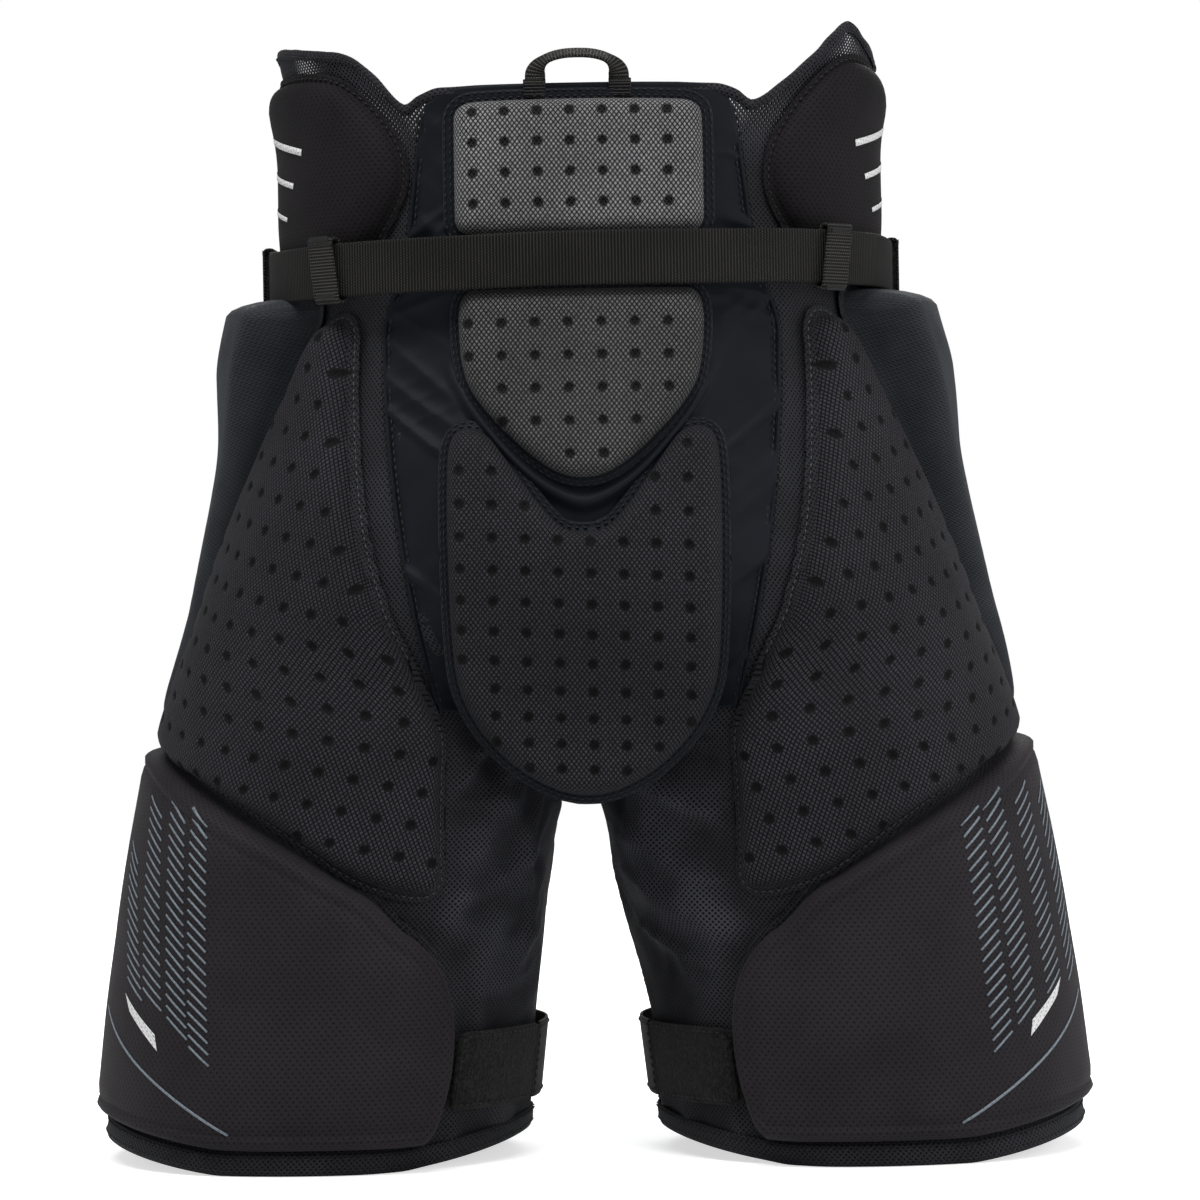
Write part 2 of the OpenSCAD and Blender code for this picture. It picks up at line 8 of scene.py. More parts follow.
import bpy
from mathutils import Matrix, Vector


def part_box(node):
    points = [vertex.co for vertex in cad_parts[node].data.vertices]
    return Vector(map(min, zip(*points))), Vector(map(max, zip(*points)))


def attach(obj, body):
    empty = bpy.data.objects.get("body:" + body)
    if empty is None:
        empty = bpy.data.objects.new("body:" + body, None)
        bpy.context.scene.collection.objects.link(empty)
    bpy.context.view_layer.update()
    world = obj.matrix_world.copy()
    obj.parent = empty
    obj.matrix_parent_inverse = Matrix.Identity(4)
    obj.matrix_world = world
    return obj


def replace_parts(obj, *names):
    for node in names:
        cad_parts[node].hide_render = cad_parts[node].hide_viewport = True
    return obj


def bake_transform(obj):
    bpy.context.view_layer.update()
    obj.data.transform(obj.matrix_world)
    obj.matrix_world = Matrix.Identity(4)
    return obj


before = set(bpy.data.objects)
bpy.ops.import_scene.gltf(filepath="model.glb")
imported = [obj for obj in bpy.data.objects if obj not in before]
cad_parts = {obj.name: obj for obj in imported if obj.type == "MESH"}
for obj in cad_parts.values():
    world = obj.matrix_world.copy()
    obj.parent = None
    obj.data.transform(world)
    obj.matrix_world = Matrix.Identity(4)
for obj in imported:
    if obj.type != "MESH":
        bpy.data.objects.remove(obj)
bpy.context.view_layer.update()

import math

import bpy
import numpy as np
from mathutils import Vector
from mathutils.bvhtree import BVHTree
from mathutils.geometry import delaunay_2d_cdt

MM = 0.001

# ---------------------------------------------------------------- the garment's surface

MID_Y = 12.6          # the shell's middle
CROTCH_Z = 192.0
PIVOT_Z = 196.0       # height of the axis on which the legs swing
BELT_Z = 418.0
SEAT_Z = 285.0


def smooth(u):
    c = np.clip(u, 0, 1)
    return c * c * (3 - 2 * c)


def mix(a, b, k):
    return a + (b - a) * k


def sind(a):
    return np.sin(np.radians(a))


def cosd(a):
    return np.cos(np.radians(a))


def torso_w(z):
    return mix(133, 188, smooth((427 - z) / 250)) + 10 * smooth((z - 470) / 55)


def back_d(z):
    return 97 + 25 * smooth(1 - np.abs(z - SEAT_Z) / 133)


def front_d(z):
    return 94 + 14 * np.clip((BELT_Z - z) / 150, 0, 1)


def skin(q, z, o):
    """Points of the left half, o outside the shell, as an array of [..., 3]."""
    q, z, o = np.broadcast_arrays(np.asarray(q, float), np.asarray(z, float), np.asarray(o, float))
    a = q / 2
    k = smooth((z - CROTCH_Z) / 70)
    d = np.where(q <= 180, back_d(z), front_d(z)) + o
    leg_x = 104 + 26 * (CROTCH_Z - z) / CROTCH_Z
    leg_w = mix(96, 92, z / CROTCH_Z) + o
    leg_d = mix(90, 97, z / CROTCH_Z) + o
    x = mix(-leg_x + leg_w * cosd(q), -(torso_w(z) + o) * sind(a), k)
    y = mix(-leg_d * sind(q) * (1 + 0.08 * cosd(q) ** 2), -d * cosd(a) * (1 + 0.12 * sind(a) ** 2), k)
    return np.stack([x, MID_Y + y, z], -1)


def back_point(x, z, o, depth):
    """A point of the back seen straight on, with the legs' cleft bridged."""
    x, z, o = np.broadcast_arrays(np.asarray(x, float), np.asarray(z, float), np.asarray(o, float))
    s = x / (torso_w(z) + o)
    y = MID_Y - (depth(z) + o) * np.sqrt(1 - s * s) * (1 + 0.12 * s * s)
    return np.stack([x, y, z], -1)


def tail_depth(z):
    return np.where(z > SEAT_Z, back_d(z), 122 - 20 * smooth((SEAT_Z - z) / 116))


def seam_x(z):
    return 64 + 26 * sind(180 * np.clip((z - 190) / 380, 0, 1)) - 10 * smooth((z - 385) / 40)


# the waist edge of each side: places round the half garment and heights there
WAIST = {"left": ((0, 40, 58, 66, 72, 78, 84, 92, 102, 112, 130, 150, 180),
                  (499.2, 499.2, 498.6, 496, 490, 498, 507, 515, 519, 520, 522, 525, 526)),
         "right": ((0, 40, 58, 66, 72, 80, 90, 100, 110, 120, 126, 134, 145, 160, 180),
                   (499.2, 499.2, 498.6, 496, 490, 495, 504, 513, 522, 529, 531, 529, 523, 518, 516))}


def top_edge(q, side):
    q = np.asarray(q, float)
    across = np.arange(0.0, 361.0, 2.0)
    high = np.where(across <= 180, np.interp(across, *WAIST[side]),
                    mix(WAIST[side][1][-1], 452, smooth((across - 190) / 100)))
    soft = np.convolve(np.pad(high, 2, "edge"), (0.1, 0.2, 0.4, 0.2, 0.1), "valid")
    return np.interp(q, across, soft)


def forward(q, z, o):
    return np.maximum(0, skin(q, z, o)[..., 1] - MID_Y)


def hem_z(q):
    return np.maximum(0, 14 * cosd(q) ** 2 - 2.5)


def hem_out(q):
    """How far the hem stands out where it is sewn to the thigh guard's face."""
    return 8.0 * smooth((q - 56) / 24) * smooth((294 - q) / 24)


class Wrap:
    """Flat millimetres on the left half: s runs outward from q0 along the surface, z up."""

    def __init__(self, q0, off=4.0):
        self.z = np.arange(-4.0, 560.0, 4.0)
        self.q = np.arange(-60.0, 421.0, 1.0)
        grid = skin(self.q[None, :], self.z[:, None], off)
        step = np.linalg.norm(np.diff(grid[..., :2], axis=1), axis=2)
        s = np.concatenate([np.zeros((len(self.z), 1)), np.cumsum(step, axis=1)], axis=1)
        self.s = s - np.array([np.interp(q0, self.q, row) for row in s])[:, None]

    def _rows(self, z):
        t = np.clip((z - self.z[0]) / 4.0, 0, len(self.z) - 1.001)
        i = np.floor(t).astype(int)
        return i, t - i

    def _look(self, value, z, xs, ys):
        value, z = np.broadcast_arrays(np.asarray(value, float), np.asarray(z, float))
        shape, value, z = value.shape, value.ravel(), z.ravel()
        i, f = self._rows(z)
        out = np.zeros(len(value))
        for k in np.unique(i):
            m = i == k
            low = np.interp(value[m], xs(k), ys(k))
            high = np.interp(value[m], xs(k + 1), ys(k + 1))
            out[m] = mix(low, high, f[m])
        return out.reshape(shape)

    def s_of(self, q, z):
        return self._look(q, z, lambda k: self.q, lambda k: self.s[k])

    def q_of(self, s, z):
        return self._look(s, z, lambda k: self.s[k], lambda k: self.q)


# ---------------------------------------------------------------- noise

def lattice(i, j, k, seed):
    h = (i.astype(np.int64) * 73856093) ^ (j.astype(np.int64) * 19349663) ^ (k.astype(np.int64) * 83492791)
    h = (h + seed * 7919) & 0xFFFFFFFF
    h = ((h ^ (h >> 16)) * 0x45D9F3B) & 0xFFFFFFFF
    h = ((h ^ (h >> 16)) * 0x45D9F3B) & 0xFFFFFFFF
    return ((h ^ (h >> 16)) & 0xFFFFFF) / float(0xFFFFFF) * 2 - 1


def noise(x, y, z, seed=0):
    """Smooth value noise from -1 to 1."""
    x, y, z = np.broadcast_arrays(np.asarray(x, float), np.asarray(y, float), np.asarray(z, float))
    i, j, k = (np.floor(v).astype(np.int64) for v in (x, y, z))
    u, v, w = smooth(x - i), smooth(y - j), smooth(z - k)
    out = 0
    for a in (0, 1):
        for b in (0, 1):
            for c in (0, 1):
                share = (u if a else 1 - u) * (v if b else 1 - v) * (w if c else 1 - w)
                out = out + share * lattice(i + a, j + b, k + c, seed)
    return out


def ridge(x, y, z, seed, sharp=2.0):
    """Rounded crests from 0 to 1, like the folds of loose cloth."""
    return (1 - np.abs(noise(x, y, z, seed))) ** sharp


# ---------------------------------------------------------------- meshes


def mesh_piece(name, points, faces, mats, uv=None, values=None, face_mat=None, mirror=False, flat=False):
    """A mesh object from millimetre points. uv holds one flat place in millimetres per vertex."""
    points = np.array(points, float).reshape(-1, 3) * MM
    if mirror:
        points[:, 0] *= -1
        faces = [tuple(reversed(f)) for f in faces]
    mesh = bpy.data.meshes.new(name)
    mesh.from_pydata([tuple(p) for p in points], [], [tuple(int(i) for i in f) for f in faces])
    for m in (mats if isinstance(mats, (list, tuple)) else [mats]):
        mesh.materials.append(m)
    loops = np.zeros(len(mesh.loops), np.int32)
    mesh.loops.foreach_get("vertex_index", loops)
    if uv is not None:
        layer = mesh.uv_layers.new(name="flat")
        layer.data.foreach_set("uv", (np.asarray(uv, float)[loops] * MM).astype(np.float32).ravel())
    for key, v in (values or {}).items():
        mesh.attributes.new(key, "FLOAT", "POINT").data.foreach_set("value", np.asarray(v, np.float32))
    if face_mat is not None:
        mesh.polygons.foreach_set("material_index", np.asarray(face_mat, np.int32))
    mesh.polygons.foreach_set("use_smooth", [not flat] * len(mesh.polygons))
    mesh.validate()
    mesh.update()
    obj = bpy.data.objects.new(name, mesh)
    bpy.context.scene.collection.objects.link(obj)
    return obj


def grid_faces(rows, cols, wrap=False):
    out = []
    for i in range(rows - 1):
        for j in range(cols if wrap else cols - 1):
            a, b = i * cols + j, i * cols + (j + 1) % cols
            out.append((a, b, b + cols, a + cols))
    return out


def thicken(obj, t, offset=-1.0):
    m = obj.modifiers.new("thickness", "SOLIDIFY")
    m.thickness = t * MM
    m.offset = offset
    m.use_even_offset = False
    return obj


def on_leg(obj):
    """The piece crosses the groin: its transform is baked into its mesh, and it is attached to no body."""
    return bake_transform(obj)


def sweep(name, centre, across, profile, mats, closed=False, uv_scale=1.0, **kw):
    """A profile of (across, up) pairs swept along centre points. across is a unit vector at each."""
    centre, across = np.asarray(centre, float), np.asarray(across, float)
    n, k = len(centre), len(profile)
    if closed:
        along = np.roll(centre, -1, 0) - np.roll(centre, 1, 0)
    else:
        along = np.gradient(centre, axis=0)
    along /= np.linalg.norm(along, axis=1)[:, None] + 1e-9
    up = np.cross(along, across)
    up /= np.linalg.norm(up, axis=1)[:, None] + 1e-9
    pts = np.concatenate([centre + a * across + b * up for a, b in profile])
    rows = pts.reshape(k, n, 3).transpose(1, 0, 2)
    run = np.concatenate([[0], np.cumsum(np.linalg.norm(np.diff(centre, axis=0), axis=1))])
    girth = np.array([a for a, b in profile])
    uv = np.stack(np.broadcast_arrays(run[:, None], girth[None, :]), -1).reshape(-1, 2) * uv_scale
    faces = grid_faces(n, k, wrap=True)
    if closed:
        faces += [((n - 1) * k + j, (n - 1) * k + (j + 1) % k, (j + 1) % k, j) for j in range(k)]
    else:
        faces += [tuple(reversed(range(k))), tuple(range((n - 1) * k, n * k))]
    return mesh_piece(name, rows.reshape(-1, 3), faces, mats, uv=uv, **kw)


def band_profile(width, thick, ribs=0, rib=0.12):
    """Cross-section of a strap: a flat rounded bar, with ribs along both faces if asked."""
    w, t = width / 2, thick / 2
    n = max(4, 2 * ribs)
    xs = np.linspace(-w + t * 0.6, w - t * 0.6, n + 1)
    lift = [t + (rib if ribs and i % 2 else 0) for i in range(n + 1)]
    top = [(x, b) for x, b in zip(xs, lift)]
    return [(-w, 0)] + top + [(w, 0)] + [(x, -b) for x, b in reversed(top)]


# ---------------------------------------------------------------- flat outlines

def rounded(p, n=2):
    p = np.asarray(p, float)
    for _ in range(n):
        nxt = np.roll(p, -1, 0)
        p = np.stack([mix(p, nxt, 0.25), mix(p, nxt, 0.75)], 1).reshape(-1, 2)
    return p


def mirrored(p):
    return list(p) + [(-x, z) for x, z in reversed(p) if x]


def resample(p, step):
    q = np.vstack([p, p[:1]])
    run = np.concatenate([[0], np.cumsum(np.linalg.norm(np.diff(q, axis=0), axis=1))])
    n = max(8, int(round(run[-1] / step)))
    t = np.arange(n) / n * run[-1]
    return np.stack([np.interp(t, run, q[:, 0]), np.interp(t, run, q[:, 1])], 1)


def signed(points, poly):
    """Distance of points from a closed outline, positive inside."""
    a, b = poly, np.roll(poly, -1, 0)
    ab = b - a
    out = np.empty(len(points))
    for i in range(0, len(points), 2000):
        p = points[i:i + 2000, None, :]
        t = np.clip(((p - a) * ab).sum(2) / (ab ** 2).sum(1), 0, 1)
        d = np.sqrt((((a + t[..., None] * ab) - p) ** 2).sum(2).min(1))
        crossing = ((a[:, 1] > p[..., 1]) != (b[:, 1] > p[..., 1])) & (
            p[..., 0] < ab[:, 0] * (p[..., 1] - a[:, 1]) / np.where(ab[:, 1] == 0, 1e-9, ab[:, 1]) + a[:, 0])
        out[i:i + 2000] = np.where(crossing.sum(1) % 2 == 1, d, -d)
    return out


def outward(points, poly):
    """Unit directions from points straight out of a closed outline."""
    a, b = poly, np.roll(poly, -1, 0)
    ab = b - a
    turn = 1.0 if np.sum(a[:, 0] * b[:, 1] - b[:, 0] * a[:, 1]) > 0 else -1.0
    normal = turn * np.stack([ab[:, 1], -ab[:, 0]], 1) / (np.linalg.norm(ab, axis=1)[:, None] + 1e-9)
    out = np.empty_like(points)
    for i in range(0, len(points), 2000):
        p = points[i:i + 2000, None, :]
        t = np.clip(((p - a) * ab).sum(2) / (ab ** 2).sum(1), 0, 1)
        gap = a + t[..., None] * ab - p
        k = (gap ** 2).sum(2).argmin(1)
        away = gap[np.arange(len(k)), k]
        away = away * np.sign((away * normal[k]).sum(1))[:, None] + 0.5 * normal[k]
        out[i:i + 2000] = away / (np.linalg.norm(away, axis=1)[:, None] + 1e-9)
    return out


def wall_length(d, wide, high):
    """How much longer than its flat width a rounded wall is, from distance d inside its foot to its top."""
    t = np.linspace(0, wide, 60)
    h = high * np.sqrt(np.maximum(0, 1 - (1 - t / wide) ** 2))
    extra = np.concatenate([[0], np.cumsum(np.hypot(np.diff(t), np.diff(h)) - np.diff(t))])
    return extra[-1] - np.interp(d, t, extra)


def loop_at(poly, inward, step):
    """The outline moved inward (or outward, if negative), without the knots that makes."""
    p = resample(poly, step)
    t = np.roll(p, -1, 0) - np.roll(p, 1, 0)
    n = np.stack([-t[:, 1], t[:, 0]], 1) / (np.linalg.norm(t, axis=1)[:, None] + 1e-9)
    if signed(p[:1] + 0.5 * n[:1], poly)[0] < 0:
        n = -n
    moved = p + inward * n
    return moved[np.abs(signed(moved, poly) - inward) < 0.25]


def thin(groups):
    """Joins groups of (points, gap) and leaves out points nearer than gap to an earlier one."""
    cell, kept, grid = 1.0, [], {}
    for pts, gap in groups:
        reach = int(math.ceil(gap / cell))
        for x, y in pts:
            i, j = int(math.floor(x / cell)), int(math.floor(y / cell))
            near = False
            for a in range(i - reach, i + reach + 1):
                for b in range(j - reach, j + reach + 1):
                    for u, v in grid.get((a, b), ()):
                        if (u - x) ** 2 + (v - y) ** 2 < gap * gap:
                            near = True
                            break
                    if near:
                        break
                if near:
                    break
            if not near:
                grid.setdefault((i, j), []).append((x, y))
                kept.append((x, y))
    return np.array(kept)


def hexes(lo, hi, pitch):
    xs = np.arange(lo[0], hi[0] + pitch, pitch)
    zs = np.arange(lo[1], hi[1] + pitch, pitch * 0.866)
    return np.array([(x + (pitch / 2 if k % 2 else 0), z) for k, z in enumerate(zs) for x in xs])


def triangulate(points, border, keep):
    """Faces between points whose first `border` entries are the outer loop, anticlockwise."""
    edges = [(i, (i + 1) % border) for i in range(border)]
    co, _, faces, origin, _, _ = delaunay_2d_cdt([Vector(p) for p in points], edges, [], 0, 1e-5)
    index = [o[0] if o else -1 for o in origin]
    faces = [tuple(index[i] for i in f) for f in faces]
    faces = [f for f in faces if min(f) >= 0 and len(set(f)) == 3]
    mid = np.array([np.mean(points[list(f)], axis=0) for f in faces])
    ok = keep(mid)
    out = []
    for f, m in zip(faces, ok):
        if m:
            a, b, c = points[f[0]], points[f[1]], points[f[2]]
            turn = (b[0] - a[0]) * (c[1] - a[1]) - (b[1] - a[1]) * (c[0] - a[0])
            out.append(f if turn > 0 else (f[0], f[2], f[1]))
    return out


def pad(name, outline, place, rise, flange, flange_o, mats, pitch=3.0, holes=None, dimple=1.5,
        shoulder=8.0, crown=0.12, back_o=0.5, mirror=False, flip=False, lumps=0.25, seed=1, roll=0.0):
    """A sewn pad: raised inside its outline, with a flat stitched flange round it.

    outline is in flat millimetres; place(points, o) gives 3-D points at o over the shell;
    rise(points) is the height of the raised part. holes are the flat centres of perforations.
    flip is True where flat x runs against the outline's outside view. roll is how far inside the
    outline a sewn crease runs, or 0 for none.
    """
    poly = resample(outline, 2.0)
    border = loop_at(poly, -flange, 3.0)
    if np.sum(border[:, 0] * np.roll(border[:, 1], -1) - np.roll(border[:, 0], -1) * border[:, 1]) < 0:
        border = border[::-1]
    border = thin([(border, 1.2)])
    levels = [-flange + 0.8, -flange * 0.55, -1.6, 0, 0.35, 1.0, 1.9, 3.2, 4.8, 7.0, 10.0]
    if roll:
        levels = levels[:-2] + [roll - 1.3, roll, roll + 1.3]
    groups = [(border, 0.0)] + [(loop_at(poly, v, 2.4), 0.30 if abs(v) < 1.2 else 0.8) for v in levels]
    centres = np.zeros((0, 2))
    if holes is not None and len(holes):
        centres = holes[signed(holes, poly) > 2.2]
        for r, n in ((0, 1), (1.2, 6), (2.2, 12), (2.8, 14), (3.5, 14)):
            ring = np.concatenate([centres + [r * math.cos(2 * math.pi * i / n), r * math.sin(2 * math.pi * i / n)]
                                   for i in range(n)])
            groups.append((ring[signed(ring, poly) > 0.6], 0.55))
    inner = hexes(poly.min(0), poly.max(0), pitch)
    groups.append((inner[signed(inner, poly) > 8.0], pitch * 0.62))
    pts = thin(groups)
    d = signed(pts, poly)
    faces = triangulate(pts, len(border), lambda m: signed(m, poly) > -flange - 0.4)

    round_off = np.sqrt(np.maximum(0, 1 - (1 - np.clip(d / shoulder, 0, 1)) ** 2))
    deep = np.clip(d / max(d.max(), 1), 0, 1)
    high = rise(pts)
    o = flange_o + (high - flange_o) * round_off * (1 - crown + crown * smooth(deep * 1.3))
    o = np.where(d < 0, flange_o - 0.5 * smooth((-d - flange + 2.5) / 2.5), o)
    o = o + lumps * noise(pts[:, 0] / 17, pts[:, 1] / 17, 0, seed) * smooth(d / 12)
    o = o - 0.35 * np.exp(-((d + 0.3) / 0.9) ** 2)
    if roll:
        o = o - 1.3 * np.exp(-((d - roll) / 1.5) ** 2)
    # the map follows the cloth over the wall, so that its pattern keeps its size there
    drop = wall_length(np.clip(d, 0, shoulder), shoulder, (np.mean(high) - flange_o) * (1 - crown))
    mapped = pts + outward(pts, poly) * drop[:, None]
    hole = np.zeros(len(pts))
    if len(centres):
        r = np.sqrt(((pts[:, None, :] - centres[None]) ** 2).sum(2)).min(1)
        o = o - dimple * np.exp(-(r / 2.1) ** 2)
        hole = 1 - np.clip((r - 1.6) / 2.4, 0, 1)
    # the back sheet shares the border
    rough = hexes(poly.min(0) - flange, poly.max(0) + flange, 9.0)
    inside = rough[signed(rough, poly) > 4.5 - flange]
    back_pts = np.vstack([pts[:len(border)], inside])
    back = triangulate(back_pts, len(border), lambda m: signed(m, poly) > -flange - 0.4)
    n, k = len(pts), len(border)
    back = [tuple((i if i < k else i - k + n) for i in reversed(f)) for f in back]
    all_flat = np.vstack([pts, inside])
    all_o = np.concatenate([o, np.full(len(inside), back_o)])
    if flip:
        faces = [tuple(reversed(f)) for f in faces]
        back = [tuple(reversed(f)) for f in back]
    centre_d = [np.mean(d[list(f)]) for f in faces]
    face_mat = [0 if v > 0.25 else 1 for v in centre_d] + [1] * len(back)
    obj = mesh_piece(name, place(all_flat, all_o), faces + back, mats, uv=np.vstack([mapped, inside]),
                     values={"hole": np.concatenate([hole, np.zeros(len(inside))]),
                             "edge": np.concatenate([d, np.full(len(inside), -flange)])},
                     face_mat=face_mat, mirror=mirror)
    obj["top_count"] = n
    return obj


def stitches(name, loop, place, o, mat, length=2.4, gap=1.3, r=0.32, mirror=False, closed=True):
    """Short raised threads along a loop of flat points."""
    pts = np.vstack([loop, loop[:1]]) if closed else loop
    run = np.concatenate([[0], np.cumsum(np.linalg.norm(np.diff(pts, axis=0), axis=1))])
    starts = np.arange(0.3, run[-1] - length, length + gap)

    def at(t):
        return np.stack([np.interp(t, run, pts[:, 0]), np.interp(t, run, pts[:, 1])], 1)
    verts, faces, uvs = [], [], []
    a, b, m = at(starts), at(starts + length), at(starts + length / 2)
    pa, pb, pm = place(a, o - 0.15), place(b, o - 0.15), place(m, o + r * 0.7)
    low = place(m, o - 0.5)
    along = pb - pa
    along /= np.linalg.norm(along, axis=1)[:, None]
    up = pm - low
    up /= np.linalg.norm(up, axis=1)[:, None]
    side = np.cross(along, up)
    third = length * 0.28
    for i in range(len(a)):
        k = len(verts)
        verts += [pa[i], pm[i] - along[i] * third + side[i] * r, pm[i] - along[i] * third + up[i] * r,
                  pm[i] - along[i] * third - side[i] * r, pm[i] + along[i] * third + side[i] * r,
                  pm[i] + along[i] * third + up[i] * r, pm[i] + along[i] * third - side[i] * r, pb[i],
                  low[i] - along[i] * third, low[i] + along[i] * third]
        uvs += [m[i]] * 10
        faces += [(k, k + 1, k + 2), (k, k + 2, k + 3), (k, k + 3, k + 8), (k, k + 8, k + 1),
                  (k + 1, k + 4, k + 5, k + 2), (k + 2, k + 5, k + 6, k + 3), (k + 3, k + 6, k + 9, k + 8),
                  (k + 8, k + 9, k + 4, k + 1), (k + 7, k + 5, k + 4), (k + 7, k + 6, k + 5),
                  (k + 7, k + 9, k + 6), (k + 7, k + 4, k + 9)]
    return mesh_piece(name, verts, faces, mat, uv=uvs, mirror=mirror)


# ---------------------------------------------------------------- materials

TREE = None


class E:
    """A socket in the node tree being built, with arithmetic."""

    def __init__(self, socket):
        self.s = socket

    def __add__(self, o): return op("ADD", self, o)
    def __radd__(self, o): return op("ADD", o, self)
    def __sub__(self, o): return op("SUBTRACT", self, o)
    def __rsub__(self, o): return op("SUBTRACT", o, self)
    def __mul__(self, o): return op("MULTIPLY", self, o)
    def __rmul__(self, o): return op("MULTIPLY", o, self)
    def __truediv__(self, o): return op("DIVIDE", self, o)


def feed(socket, value):
    if isinstance(value, E):
        TREE.links.new(value.s, socket)
    elif isinstance(value, (tuple, list)) and socket.type == "RGBA":
        socket.default_value = (*value[:3], 1)
    else:
        socket.default_value = value


def op(kind, *args):
    n = TREE.nodes.new("ShaderNodeMath")
    n.operation = kind
    for s, a in zip(n.inputs, args):
        feed(s, a)
    return E(n.outputs[0])


def frac(a): return op("FRACT", a)
def absolute(a): return op("ABSOLUTE", a)
def biggest(a, b): return op("MAXIMUM", a, b)
def smallest(a, b): return op("MINIMUM", a, b)


def ramp(a, low, high, to=(0.0, 1.0)):
    n = TREE.nodes.new("ShaderNodeMapRange")
    n.interpolation_type = "SMOOTHSTEP"
    feed(n.inputs["Value"], a)
    for key, v in (("From Min", low), ("From Max", high), ("To Min", to[0]), ("To Max", to[1])):
        feed(n.inputs[key], v)
    return E(n.outputs[0])


def blend_colour(k, a, b):
    n = TREE.nodes.new("ShaderNodeMix")
    n.data_type = "RGBA"
    feed(n.inputs["Factor"], k)
    sockets = [s for s in n.inputs if s.type == "RGBA"]
    feed(sockets[0], a)
    feed(sockets[1], b)
    return E([s for s in n.outputs if s.type == "RGBA"][0])


def flat_uv():
    n = TREE.nodes.new("ShaderNodeUVMap")
    n.uv_map = "flat"
    x = TREE.nodes.new("ShaderNodeSeparateXYZ")
    TREE.links.new(n.outputs[0], x.inputs[0])
    return E(x.outputs[0]) * 1000.0, E(x.outputs[1]) * 1000.0


def place_vector(scale=1.0):
    n = TREE.nodes.new("ShaderNodeTexCoord")
    m = TREE.nodes.new("ShaderNodeVectorMath")
    m.operation = "SCALE"
    TREE.links.new(n.outputs["Object"], m.inputs[0])
    m.inputs["Scale"].default_value = 1000.0 * scale
    return E(m.outputs[0])


def cloud(size, detail=2.0, rough=0.5):
    """Object-space noise whose lumps are size millimetres."""
    n = TREE.nodes.new("ShaderNodeTexNoise")
    TREE.links.new(place_vector(1.0 / size).s, n.inputs["Vector"])
    n.inputs["Scale"].default_value = 1.0
    n.inputs["Detail"].default_value = detail
    n.inputs["Roughness"].default_value = rough
    return E(n.outputs["Fac"])


def vertex_value(name):
    n = TREE.nodes.new("ShaderNodeAttribute")
    n.attribute_name = name
    return E(n.outputs["Fac"])


def turned(u, v, degrees):
    c, s = math.cos(math.radians(degrees)), math.sin(math.radians(degrees))
    return u * c + v * s, v * c - u * s


def lattice_cells(u, v, pitch, half_angle):
    """1 in the middle of each diamond of two crossing line families, 0 on the lines."""
    c, s = math.cos(math.radians(half_angle)), math.sin(math.radians(half_angle))
    a = absolute(frac((u * s + v * c) / pitch) - 0.5)
    b = absolute(frac((u * s - v * c) / pitch) - 0.5)
    return 1.0 - 2.0 * biggest(a, b)


def dots(u, v, pu, pv, r0, r1):
    """1 inside staggered dots, 0 outside."""
    row = op("FLOOR", v / pv)
    odd = frac(row * 0.5)
    x = (frac(u / pu + odd) - 0.5) * pu
    y = (frac(v / pv) - 0.5) * pv
    r = op("SQRT", x * x + y * y)
    return 1.0 - ramp(r, r0, r1)


def material(name, paint):
    """paint() returns colour, roughness, height in mm and options."""
    global TREE
    m = bpy.data.materials.new(name)
    m.use_nodes = True
    TREE = m.node_tree
    TREE.nodes.clear()
    out = TREE.nodes.new("ShaderNodeOutputMaterial")
    shader = TREE.nodes.new("ShaderNodeBsdfPrincipled")
    look = paint()
    feed(shader.inputs["Base Color"], look["colour"])
    feed(shader.inputs["Roughness"], look.get("rough", 0.8))
    feed(shader.inputs["Specular IOR Level"], look.get("spec", 0.25))
    feed(shader.inputs["Sheen Weight"], look.get("sheen", 0.0))
    feed(shader.inputs["Sheen Roughness"], look.get("sheen_rough", 0.5))
    feed(shader.inputs["Sheen Tint"], look.get("sheen_tint", (1, 1, 1)))
    if "glow" in look:
        feed(shader.inputs["Emission Color"], (1, 1, 1))
        feed(shader.inputs["Emission Strength"], look["glow"])
    if "height" in look:
        b = TREE.nodes.new("ShaderNodeBump")
        feed(b.inputs["Height"], look["height"])
        b.inputs["Strength"].default_value = look.get("bump", 0.8)
        b.inputs["Distance"].default_value = MM
        TREE.links.new(b.outputs[0], shader.inputs["Normal"])
    surface = shader.outputs[0]
    if "clear" in look:
        hole = TREE.nodes.new("ShaderNodeBsdfTransparent")
        both = TREE.nodes.new("ShaderNodeMixShader")
        feed(both.inputs[0], look["clear"])
        TREE.links.new(surface, both.inputs[1])
        TREE.links.new(hole.outputs[0], both.inputs[2])
        surface = both.outputs[0]
    TREE.links.new(surface, out.inputs[0])
    return m


def grey(v, tint=(1, 1, 1)):
    return tuple(v * t for t in tint)


